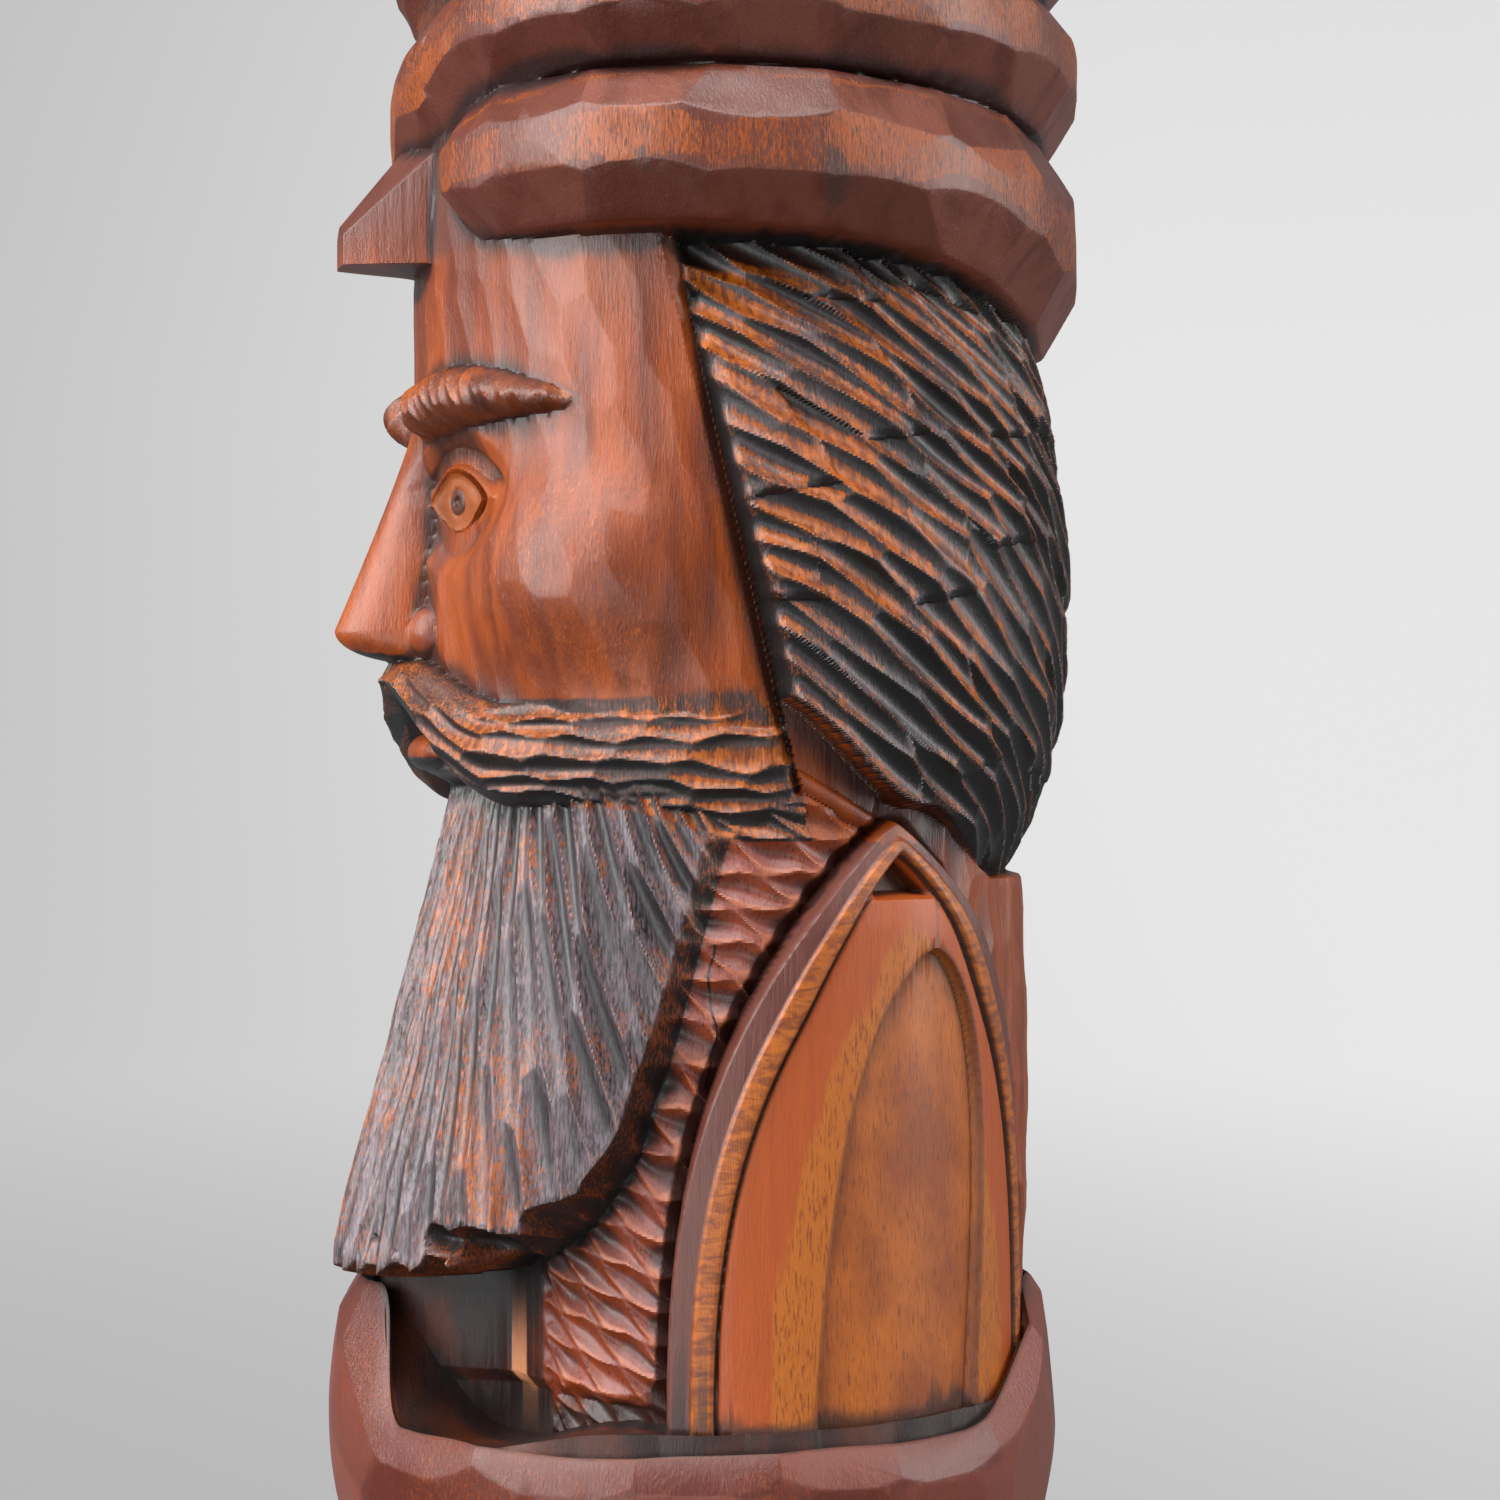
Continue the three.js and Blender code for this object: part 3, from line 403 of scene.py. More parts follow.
def beard_inside(side, z):
    """Distance inside the beard's outline, with scoops cut up into its lower edge."""
    across, _ = beard_lanes(side, z)
    across = across / BEARD_EDGE.lanes
    name = np.floor(across)
    scoop = 1 - (2 * (across - name) - 1) ** 2
    deep = BEARD_EDGE.scoop * chance(name, 51) * ease(*BEARD_EDGE.heights, z)
    return inside_lobe(BEARD, side, z) - deep * scoop


def beard_wall(side, z):
    """How much of the beard's thickness stands at a point: the cut wall round it is a slanting face."""
    scoops = np.abs(np.sin(z / BEARD_WALL.scoop_height + side / BEARD_WALL.scoop_turn))
    width = mix(BEARD_WALL.width, BEARD_WALL.thick, ease(*BEARD_WALL.thick_heights, z) * scoops)
    inside = beard_inside(side, z)
    bottom = ease(*BEARD_WALL.under_heights, z)
    return clamp(inside / mix(width, BEARD_WALL.under, bottom)) ** mix(1.0, BEARD_WALL.under_round, bottom)


def moustache_lines(side):
    """The band's middle and half height: it sweeps down from under the nose and widens towards the hair."""
    sweep = 1 - ease(0, MOUSTACHE.sweep, side)
    at_back = ease(*MOUSTACHE.back_turns, side)
    middle = mix(MOUSTACHE.low, MOUSTACHE.top, sweep) - MOUSTACHE.sag * at_back
    half = mix(MOUSTACHE.thick, MOUSTACHE.thin, sweep) + (MOUSTACHE.back - MOUSTACHE.thick) * at_back
    return middle, half


def moustache_radius(side, z, hand):
    """The swept band of rows of short cuts, and 0 outside it."""
    middle, half = moustache_lines(side)
    swell = mix(MOUSTACHE_RISE.swell, MOUSTACHE_RISE.back_swell, ease(*MOUSTACHE_RISE.swell_turns, side))
    swell = swell * ease(0, MOUSTACHE_RISE.parting, side)
    root = mix(MOUSTACHE_RISE.root, MOUSTACHE_RISE.back_root, ease(*MOUSTACHE_RISE.root_turns, side))
    cuts = MOUSTACHE_CUTS
    s = arc(side)
    wander = cuts.wander * ripple(s / cuts.wander_width, z / cuts.wander_height, 41)
    across = (z - middle) / cuts.width + wander
    across = across - cuts.fan * np.maximum(0, s - cuts.fan_from) * (z - middle) / cuts.width
    cut = gouge_cuts(across, s / cuts.length, cuts.depth, 43 + 5 * hand)
    rise = np.abs((z - middle) / half)
    return np.where(rise < 1, root + swell * dome(np.minimum(rise, 1)) + cut * (1 - rise ** 6), 0)


# ---- face: plain thirds, the eyes one eye's width apart ----
def nose_radius(radius, across, z):
    """The face's surface with a straight nose and its wings on it."""
    drop = (NOSE.root_z - z) / (NOSE.root_z - NOSE.tip_z)
    half = mix(NOSE.root_half, NOSE.tip_half, clamp(drop))
    under = dome(clamp((NOSE.tip_z - z) / (NOSE.tip_z - NOSE_BASE_Z)))
    ridge = mix(NOSE.bridge, NOSE.tip, clamp(drop) ** 1.1)
    slope = (1 - clamp(across / half) ** 1.6) ** 0.8
    from_wing = np.hypot(across - WING.across, z - NOSE_BASE_Z - WING.above) / WING.radius
    wing = WING.centre + WING.radius * dome(from_wing) - WING.radius / 2
    return np.where(drop < 0, radius, np.maximum(mix(radius, mix(radius, ridge, under), slope), wing))


def almond(across, z):
    """How far out a point lies from the eye's middle: 1 on an almond outline, pointed at both corners."""
    u, v = (across - EYE.across) / EYE.half_width, np.abs(z - EYE_Z) / EYE.half_height
    return (v + np.sqrt(v * v + 4 * u * u)) / 2


def brow_rise(side, z):
    """1 along the middle of the brow, falling to 0 at its edge."""
    middle = BROW.z + BROW.arch * np.sin(clamp(side / BROW.arch_turn) * math.pi)
    apart = ease(*BROW.apart, side)
    half = BROW.half_height * (1 - BROW.taper * ease(*BROW.taper_turns, side))
    return apart * dome(np.hypot((z - middle) / half, np.maximum(0, side - BROW.half_turn) / BROW.fade))


def eye_ball(across, z, eye):
    """The ball inside the almond, with a fine ring round the iris and a drilled pupil."""
    iris = np.hypot(across - EYE.across, z - EYE_Z)
    iris_cut = EYE.iris_cut * np.exp(-((iris - EYE.iris) / 0.5) ** 2) + EYE.pupil_cut * dome(iris / EYE.pupil)
    return (EYE.ball * dome(0.85 * eye) - iris_cut) * (eye < 1)


def eye_lids(z, eye):
    """A raised lid round the almond, heavier above."""
    lids = LIDS.rise * np.exp(-(((eye - LIDS.at) / LIDS.width) ** 2))
    return lids * (0.6 + 0.7 * ease(*LIDS.heights, z - EYE_Z))


def lid_fold(z, eye):
    """A soft line above the upper lid."""
    fold = LIDS.fold * np.exp(-(((eye - LIDS.fold_at) / LIDS.fold_width) ** 2))
    return fold * ease(*LIDS.fold_heights, z - EYE_Z)


def face_radius(side, z, hand):
    across = FACE.radius * np.sin(np.radians(np.minimum(side, 90)))
    skull = mix(FACE.radius, FACE.temple, ease(*FACE.turns, side))
    above_mouth = ease(MOUTH_Z, NOSE_BASE_Z + 8, z)
    radius = skull - FACE.chin * (1 - above_mouth) * (1 - ease(*FACE.chin_turns, side))
    cut_across = arc(side) / FACE_CUTS.width + FACE_CUTS.lean * z / FACE_CUTS.width
    radius = radius + FACE_CUTS.rise
    radius = radius + gouge_cuts(cut_across, z / FACE_CUTS.length, FACE_CUTS.depth, 61 + hand)

    hollow = np.hypot((across - EYE.across) / EYE_HOLLOW.half_width, (z - EYE_Z) / EYE_HOLLOW.half_height)
    eye = almond(across, z)
    radius = radius + eye_ball(across, z, eye) + eye_lids(z, eye) - lid_fold(z, eye)
    radius = radius - EYE_HOLLOW.depth * dome(hollow) ** 2.4
    cheek = np.hypot((side - CHEEK.turn) / CHEEK.half_turn, (z - CHEEK.z) / CHEEK.half_height)
    radius = radius + CHEEK.swell * ease(1.15, 0.1, cheek)

    brow = brow_rise(side, z)
    tuft = (arc(side) + 0.5 * (z - BROW.z)) / BROW.cut
    tufts = gouge_cuts(tuft, z / BROW.cut_long, BROW.cut_deep, 63 + hand)
    ridge = skull - BROW.root + (BROW.swell + BROW.root) * brow ** 1.4 + tufts * ease(0.2, 0.6, brow)
    radius = nose_radius(np.maximum(radius, ridge), across, z)
    lip = dome(np.hypot(across / LIP.half_width, (z - MOUTH_Z + LIP.half_height) / LIP.half_height))
    return np.maximum(radius, FACE.radius - LIP.sunk + LIP.swell * lip)


# ---- hair ----
def hair_front(z):
    """The turn where the hair starts, at a height."""
    return HAIR_FRONT.turn + (HAIR_FRONT.at - z) * HAIR_FRONT.slope


def hair_low(side):
    """The height where the hair ends, at a turn: it hangs lower over the shoulder and lowest at the nape."""
    temple, shoulder, nape = HAIR_LOW.turns
    to_shoulder = mix(HAIR_LOW.front, HAIR_LOW.shoulder, ease(temple, shoulder, side))
    return to_shoulder + (HAIR_LOW.nape - HAIR_LOW.shoulder) * ease(shoulder, nape, side)


def behind_hair_front(side, z):
    return arc(side - hair_front(z), HAIR_FRONT.radius)


def above_hair_low(side, z):
    return np.where(behind_hair_front(side, z) > 0, z - hair_low(side), z - BEARD_FORM.top)


def hair_flow(side, z):
    """Distance across the hair's flow and along it: it sweeps back and down, and steeper lower down."""
    back = arc(side - hair_front(z), HAIR_FLOW.radius)
    fall = HAIR_FLOW.slope * back + HAIR_FLOW.curl * back * back
    fall = fall + HAIR_FLOW.droop * np.maximum(0, HAIR_FLOW.droop_from - z) * back
    return (z + fall) / HAIR_FLOW.across, HAIR_FLOW.back * back - HAIR_FLOW.down * z


def hair_relief(side, z, hand):
    """Tufts of long scooped cuts, each tuft's pointed end standing over the next one's start."""
    cuts = HAIR_CUTS
    flow_across, flow_along = hair_flow(side, z)
    s = arc(side)
    wander = cuts.wander * ripple(s / cuts.wander_size, z / cuts.wander_size, 71 + hand)
    across = flow_across / cuts.width + wander
    tuft = np.floor(across / cuts.tuft)
    within = across / cuts.tuft - tuft
    warp = cuts.warp * ripple(s / cuts.warp_size, z / cuts.warp_size, 72 + hand)
    start = flow_along / cuts.tuft_length + warp + 0.5 * np.mod(tuft, 2) + 0.35 * chance(tuft, 73 + hand)
    start = start + cuts.point * np.abs(2 * within - 1)
    end = start - np.floor(start)
    tier = cuts.rise * (end ** 1.5 - 0.45) * (1 - ease(0.94, 1, end))
    plump = cuts.plump * np.sin(math.pi * within)
    return tier + plump + gouge_cuts(across, flow_along / cuts.length + warp, cuts.depth, 74 + hand)


def hair_radius(side, z, hand):
    """The mass of hair, fullest at one height, flatter towards the temple, with its cuts."""
    away = z - HAIR.fullest_at
    thinner = np.where(away > 0, HAIR.above * away ** 2, -HAIR.below * np.minimum(away, 0) ** 3)
    form = (HAIR.crown - thinner) * mix(HAIR.temple, 1, ease(*HAIR.temple_turns, side))
    return form + hair_relief(side, z, hand) - 1


# ---- turban ----
def winding_at(wound):
    """A winding's middle and half height: it climbs one winding over the brow, and both laps hang behind."""
    first = ease(*CLOTH.climb_turns, wound)
    second = ease(*CLOTH.climb_turns, wound - 360)
    back = ((1 - np.cos(np.radians(wound + CLOTH.start))) / 2) ** CLOTH_HANG.sharpness
    droop = mix(CLOTH_HANG.droop, CLOTH_HANG.second_droop, first) * back
    middle = CLOTH.base + CLOTH.climb * (first + second) - droop
    return middle, mix(CLOTH_HANG.half, CLOTH_HANG.back_half, back * (1 - first))


def top_roll_at(turn):
    return TOP_ROLL.z + 0 * turn, TOP_ROLL.half_height


def roll_peak(turn):
    """How far out a roll's middle stands."""
    side = np.abs(np.mod(turn + 180, 360) - 180)
    swell = mix(TURBAN.front, TURBAN.side, ease(*TURBAN.side_turns, side))
    return swell + (TURBAN.back - TURBAN.side) * ease(*TURBAN.back_turns, side)


def roll_radius(roll_at, size, turn, z, seed, tones):
    """One roll of cloth, cut flat all over. size is its share of full size at each turn."""
    cuts = TURBAN_CUTS
    size = np.maximum(size, 1e-3)

    def form(spot, height):
        middle, half = roll_at(spot)
        rise = np.abs((height - middle) / (half * size))
        peak = roll_peak(spot) - cuts.depth - TURBAN.thin * (1 - size)
        return peak - TURBAN.bulge * np.minimum(rise, 1) ** 2

    def heights(column, spot):
        middle, half = roll_at(spot)
        return [
            middle + half * size * (rise + cuts.stray * (chance(column, row + 3, seed) - 0.5))
            for row, rise in enumerate(cuts.rows)
        ]

    middle, half = roll_at(turn)
    inside = np.abs(z - middle) < 1.2 * half * size
    cut = np.zeros_like(turn)
    wobble = cuts.wobble * ripple(turn / cuts.wobble_turn, z / cuts.wobble_height, 81 + seed)
    wall = cuts.wall * half * np.maximum(0, np.abs((z - middle) / (half * size)) - cuts.wall_from)
    radius = np.minimum(flat_cuts(form, cuts.round, heights, turn, z, cut), roll_peak(turn) - cuts.clear)
    tones[...] = np.where(inside, cut, tones)
    return np.where(inside, radius + wobble - wall, 0)


def winding_radius(turn, z, lap, tones):
    """One lap of the wound cloth: it starts in a blunt thumb, and dies away behind the plume."""
    wound = np.mod(turn - CLOTH.start, 360) + 360 * lap
    size = round_over(wound, CLOTH.thumb) * round_over(CLOTH.end - wound, CLOTH.tail)
    return roll_radius(lambda at: winding_at(at - CLOTH.start), size, wound + CLOTH.start, z, lap, tones)


def peak_radius(side, z):
    """A blunt wedge over the brow, 0 outside it."""
    across = PEAK.root * np.sin(np.radians(side))
    by_side = (PEAK.root_half - across) / (PEAK.root_half - PEAK.tip_half)
    by_top = (PEAK.root_top - z - PEAK.slope * across) / (PEAK.root_top - PEAK.tip_top)
    reach = PEAK.root + (PEAK.tip - PEAK.root) * np.minimum(1, np.minimum(by_side, by_top))
    return np.where((z > PEAK.under) & (z < PEAK.root_top) & (side < PEAK.half_turn), reach, 0)


def plume_radius(turn, z):
    """A row of pointed blades that curl out and back, each with a ridge and barbs."""
    blade = (turn + PLUME.half_turn) / (2 * PLUME.half_turn) * PLUME.blades
    off = np.abs(blade - np.floor(blade) - 0.5) * 2
    tip = PLUME.top - PLUME.notch * off ** 1.6
    climb = (z - PLUME.start) / (PLUME.top - PLUME.start)
    out = PLUME_CURL.out * np.sin(clamp(climb / PLUME_CURL.out_by) * math.pi / 2)
    barbs = PLUME.barb * np.abs(np.sin((z - PLUME.barb_slant * off) / PLUME.barb_height))
    reach = PLUME.root + out - PLUME_CURL.back * ease(PLUME_CURL.back_from, 1, climb)
    reach = reach + PLUME.ridge * (1 - 2 * off) - barbs
    return np.where((np.abs(turn) < PLUME.half_turn) & (z > PLUME.start) & (z < tip), reach, 0)


def crown_radius(z):
    return CROWN.radius * np.sqrt(np.maximum(0, 1 - clamp((z - CROWN.start) / (TOP - CROWN.start)) ** 3))


# ---- the whole figure ----
def body_radius(turn, z):
    """Everything below the head, with the web of wood in front and the ends of the moustache."""
    side, hand = np.abs(turn), np.sign(turn)
    chest = sleeve_radius(side, z, hand)
    scoops = WEB.scoop * np.abs(np.sin(np.radians(turn - WEB.scoop_turn) * WEB.scoops))
    web = WEB.radius - scoops - WEB.taper * np.maximum(0, WEB.taper_from - z)
    chest = mix(chest, web, front_share(turn, WEB.turns) * (z < WEB.top))
    beard = np.maximum(chest, beard_radius(side, z, hand))
    body = mix(chest, beard, beard_wall(side, z))
    return np.where(behind_hair_front(side, z) < 0, np.maximum(body, moustache_radius(side, z, hand)), body)


def head_radius(side, z, hand):
    """Face and hair, parted by a groove at the hair's front edge."""
    jaw = mix(beard_radius(side, z, hand), FACE.temple, ease(*FACE.jaw_turns, side))
    face = mix(jaw, face_radius(side, z, hand), ease(MOUTH_Z - 18, MOUTH_Z - 12, z))
    face = np.maximum(face, moustache_radius(side, z, hand))
    behind = behind_hair_front(side, z)
    groove = HAIR_FRONT.groove * (1 - clamp(np.abs(behind) / HAIR_FRONT.groove))
    return mix(face, hair_radius(side, z, hand), ease(-1, HAIR_FRONT.edge, behind)) - groove


def turban_radius(turn, side, z, tones):
    top_roll = np.sqrt(ease(*TOP_ROLL.fade, side))
    rolls = [
        winding_radius(turn, z, 0, tones),
        winding_radius(turn, z, 1, tones),
        roll_radius(top_roll_at, top_roll, turn, z, 2, tones),
        peak_radius(side, z),
        plume_radius(turn, z),
    ]
    return np.max(rolls, axis=0)


def figure_radius(turn, z, tones):
    side, hand = np.abs(turn), np.sign(turn)
    above = ease(-1, 1, above_hair_low(side, z))
    carved = mix(body_radius(turn, z), head_radius(side, z, hand), above)
    core = mix(TURBAN.core, TURBAN.back_core, ease(*TURBAN.core_turns, side))
    base = mix(carved, core, ease(TURBAN.core_from, TURBAN.core_from + TURBAN.core_rise, z))
    base = np.where(z > CROWN.start, crown_radius(z), base)
    return np.maximum(base, turban_radius(turn, side, z, tones))


# ---- the skin as rows of points round the log ----
def shares(length):
    """Even steps from 0 towards 1 for a band of rows that covers a length."""
    return np.linspace(0, 1, max(BANDS.fewest, int(length / ROW_STEP)), endpoint=False)


def foot_rows(turn, add):
    foot = FOOT.radius - FOOT.flat * (1 - np.abs(np.cos(np.radians(turn) * FOOT.flats / 2)))
    add(foot - FOOT.chamfer, 0, "foot")
    for share in shares(BANDS.foot):
        add(foot, mix(FOOT.chamfer, FOOT.height, share), "foot")
    add(foot, FOOT.height, "foot")


def basin_rows(turn, add):
    """Up the outside, over the rim, down the hollow's wall and across its floor to the body."""
    rim, floor, inner = rim_height(turn), floor_height(turn), basin_inner(turn)
    for share in shares(BANDS.basin):
        tones = np.zeros_like(turn)
        z = mix(FOOT.cove_height, rim, share)
        add(basin_radius(turn, z, tones), z, "basin", tones)
    lip = basin_radius(turn, rim, np.zeros_like(turn)) - 0.5
    for share in shares(BANDS.lip):
        add(mix(lip, np.minimum(lip - 1, inner + 1), share), rim - RIM.round * share, "hollow")
    for share in shares(BANDS.inner_wall):
        add(inner - 0.8 * share, mix(rim - RIM.round, floor + 1, share), "hollow")
    body_foot = body_radius(turn, np.maximum(floor, TORSO.bottom))
    for share in shares(BANDS.floor):
        z = floor + 1 - share - FLOOR.dip * math.sin(math.pi * share)
        add(mix(inner - 0.8, body_foot, share), z, "hollow")
    for share in shares(FLOOR.level_from - FLOOR.front):
        z = mix(floor, FLOOR.level_from, share)
        add(body_radius(turn, z), z, "figure")


def figure_rows(turn, add):
    for z in np.arange(FLOOR.level_from, CROWN.cap, ROW_STEP):
        tones = np.zeros_like(turn)
        add(figure_radius(turn, np.full_like(turn, z), tones), z, "figure", tones)


def crown_rows(turn, add):
    """The top of the crown, from its edge in, cut by the gouge."""
    edge = float(crown_radius(np.array(CROWN.cap)))
    for radius in np.linspace(edge, CROWN.middle, int(BANDS.crown / ROW_STEP)):
        z = CROWN.start + (TOP - CROWN.start) * (1 - (radius / CROWN.radius) ** 2) ** (1 / 3)
        across = radius * np.sin(np.radians(turn)) / CROWN_CUTS.width
        along = radius * np.cos(np.radians(turn)) / CROWN_CUTS.length
        cuts = gouge_cuts(across, along, CROWN_CUTS.depth, 91) * ease(*CROWN_CUTS.plain, radius)
        add(radius, z + cuts, "figure")


def skin_rows():
    """Radius, height, zone and cut's tone of every point, row by row from the underside to the top."""
    turn = np.linspace(-180, 180, COLUMNS, endpoint=False)
    rows = []

    def add(radius, z, zone, tones=None):
        flat = np.zeros_like(turn)
        rows.append((radius + flat, z + flat, flat + ZONES.index(zone), flat if tones is None else tones))

    for band in (foot_rows, basin_rows, figure_rows, crown_rows):
        band(turn, add)
    return turn, [np.array(part) for part in zip(*rows)]


def blurred(grid, size):
    """A grid smoothed over about size cells each way, wrapped round the log."""
    for _ in range(2):
        wrapped = np.concatenate([grid[:, -size:], grid, grid[:, :size]], axis=1)
        around = np.cumsum(wrapped, axis=1)
        grid = (around[:, 2 * size:] - around[:, :-2 * size]) / (2 * size)
        longer = np.concatenate([np.repeat(grid[:1], size, 0), grid, np.repeat(grid[-1:], size, 0)])
        up = np.cumsum(longer, axis=0)
        grid = (up[2 * size:] - up[:-2 * size]) / (2 * size)
    return grid


def stain_and_shade_places(turn, side, z, zone):
    """Which points belong to each part that has a stain of its own, to the hollow and the chest under the
    beard, which get painted shade, and to three wider places.
    """
    figure = zone == ZONES.index("figure")
    above = above_hair_low(side, z) > 0
    behind = behind_hair_front(side, z)
    in_beard = inside_lobe(BEARD, side, z)
    middle, half = moustache_lines(side)
    lap_middle, lap_half = winding_at(np.mod(turn - CLOTH.start, 360))
    in_lap = (np.abs(z - lap_middle[None, :]) < 1.02 * lap_half[None, :]) & (z > BROW.z)
    across = FACE.radius * np.sin(np.radians(np.minimum(side, 90)))
    iris = np.hypot(across - EYE.across, z - EYE_Z) < EYE.iris

    below = figure & ~above
    turban = figure & ((z > TURBAN.core_from) | in_lap)
    under_turban = z < TURBAN.core_from + 6
    face = figure & (behind < 0) & (z > MOUTH_Z - 12) & under_turban
    hair = figure & above & (behind > 0) & under_turban
    moustache = figure & (behind < 0) & (half - np.abs(z - middle) > 0)
    beard = figure & (behind < 0) & (z < MOUTH_Z - 8) & ((in_beard > 0) | above) & ~moustache
    bare = below & (in_beard < 0)
    beside = bare & ~moustache
    block_side = (side > WEB_BLOCK.turns[0]) & (side < WEB_BLOCK.turns[1])
    block_height = (z > WEB_BLOCK.heights[0]) & (z < WEB_BLOCK.heights[1])
    under_beard = bare & (side < UNDER_BEARD.turn) & (z < UNDER_BEARD.top)
    eye = face & (almond(across, z) < 1.0) & (z < BROW.z - 8)
    return {
        "figure": figure,
        "beside_beard": beside,
        "cut_wall": below & (in_beard > 0) & ~moustache,
        "turban": turban,
        "hair": hair & ~turban,
        "beard": beard,
        "moustache": moustache,
        "brow": face & (brow_rise(side, z) > 0.15) & (z > EYE_Z),
        "chest": beside & (inside_lobe(ARM, side, z) < 0) & (side < ARM.centre),
        "block": bare & block_side & block_height,
        # the hollow and the chest under the beard, both given painted shade
        "hollow": (zone == ZONES.index("hollow")) | under_beard,
        "basin": zone <= ZONES.index("basin"),
        "eye": eye & ~iris,
        "iris": eye & iris,
    }


def relief_marks(turn, radius, z, figure):
    """How deep in a crease a point lies, raised near the basin's floor: both are painted shade. How proud of
    its neighbours it stands, and how much it faces down.
    """
    fine, broad = max(1, round(RELIEF.fine / ROW_STEP)), max(2, round(RELIEF.broad / ROW_STEP))
    low, deep = radius - blurred(radius, fine), radius - blurred(radius, broad)
    above_floor = z - np.minimum(floor_height(turn), RELIEF.floor)[None, :]
    climb = np.gradient(radius, axis=0) / np.maximum(np.gradient(z, axis=0), 0.3)
    # painted shade in the corner by the basin's floor
    corner_shade = np.where(figure, ease(RELIEF.floor_dark, 0, above_floor) * 0.8, 0)
    return {
        "crease": clamp(-deep / RELIEF.crease) + corner_shade,
        "proud": clamp(0.5 + low / RELIEF.proud),
        "under": clamp(0.5 + 0.5 * climb),
    }


def sleeve_marks(side, z, beside):
    """How far inside the sleeve's edge a point lies, in rim widths, and inside its inner arch."""
    sleeve = np.clip(inside_lobe(ARM, side, z) / rim_width(z), -1, 3)
    arch = np.clip(inside_lobe(ARM_INNER, side, z), -6, 6)
    return {"sleeve": np.where(beside, sleeve, -1), "inner_arch": np.where(beside, arch, -6)}


def damage_marks(turn, z, chest):
    """How far a point lies beside the crack, and how far inside a chip."""
    crack = arc(turn - CRACK.turn)[None, :] - CRACK.wander * ripple(z / CRACK.wander_height, 0 * z, 95)
    cracked = chest & (z > CRACK.bottom) & (z < CRACK.top)
    chipped = np.zeros_like(z)
    for chip_turn, chip_z, half_width, half_height in CHIPS:
        across = arc(turn - chip_turn, TURBAN.side)[None, :] + 0.3 * (z - chip_z)
        off = np.hypot(across / half_width, (z - chip_z) / half_height)
        chipped = np.maximum(chipped, clamp(1.3 - off))
    return {"crack": np.where(cracked, np.clip(crack, -3, 3), 3), "chip": chipped}


def finish_marks(turn, radius, z, zone, tones):
    """What the stain, the painted shade and highlights, and the varnish follow: shares from 0 to 1, and
    distances in millimetres from lines.
    """
    side = np.abs(turn)[None, :] + 0 * z
    places = stain_and_shade_places(turn, side, z, zone)
    return {
        **{name: np.where(places[name], 1.0, 0.0) for name in STAINS_AND_SHADE},
        **relief_marks(turn, radius, z, places["figure"]),
        "wall": np.where(places["cut_wall"], 1 - ease(0.86, 1, beard_wall(side, z)), 0),
        **sleeve_marks(side, z, places["beside_beard"]),
        **damage_marks(turn, z, places["chest"]),
        "cut_row": np.floor(tones),
        "tone": tones - np.floor(tones),
    }


# ---- meshes ----
def new_mesh(name, points, triangles, marks):
    """A mesh of triangles, with each mark kept on its points."""
    mesh = bpy.data.meshes.new(name)
    mesh.vertices.add(len(points))
    mesh.vertices.foreach_set("co", points.astype(np.float32).ravel())
    mesh.loops.add(triangles.size)
    mesh.loops.foreach_set("vertex_index", triangles.astype(np.int32).ravel())
    mesh.polygons.add(len(triangles))
    mesh.polygons.foreach_set("loop_start", np.arange(0, triangles.size, 3, dtype=np.int32))
    mesh.update(calc_edges=True)
    for mark, values in marks.items():
        layer = mesh.attributes.new(mark, "FLOAT", "POINT")
        layer.data.foreach_set("value", values.astype(np.float32))
    return mesh


def closed_skin(turn, radius, z):
    """Joins the rows into one closed skin, with a point in the middle of the underside and of the top."""
    rows, columns = radius.shape
    angle = np.radians(turn)[None, :]
    points = np.stack([radius * np.sin(angle), -radius * np.cos(angle), z], axis=-1).reshape(-1, 3)
    points = np.vstack([points, [[0, 0, 0], [0, 0, TOP]]]) * MM
    index = np.arange(rows * columns).reshape(rows, columns)
    after = np.roll(index, -1, axis=1)
    quads = np.stack([index[:-1], after[:-1], after[1:], index[1:]], axis=-1).reshape(-1, 4)
    bottom, top = rows * columns, rows * columns + 1
    fan_low = np.stack([np.full(columns, bottom), after[0], index[0]], axis=-1)
    fan_high = np.stack([np.full(columns, top), index[-1], after[-1]], axis=-1)
    return points, np.vstack([quads[:, [0, 1, 2]], quads[:, [0, 2, 3]], fan_low, fan_high])


def numbers(collection, name, width=1):
    """One property of every item of a mesh, as an array."""
    values = np.empty(len(collection) * width, dtype=np.float32 if name != "vertex_index" else np.int32)
    collection.foreach_get(name, values)
    return values.reshape(-1, width) if width > 1 else values


def thinned(mesh, most):
    """The same form in fewer triangles: flat places lose theirs first."""
    whole = bpy.data.objects.new("whole_carving", mesh)
    bpy.context.scene.collection.objects.link(whole)
    thin = whole.modifiers.new("thin", "DECIMATE")
    thin.ratio = min(1, most / len(mesh.polygons))
    finished = bpy.data.meshes.new_from_object(whole.evaluated_get(bpy.context.evaluated_depsgraph_get()))
    bpy.data.objects.remove(whole)
    finished.shade_smooth()
    finished.set_sharp_from_angle(angle=math.radians(40))
    return finished


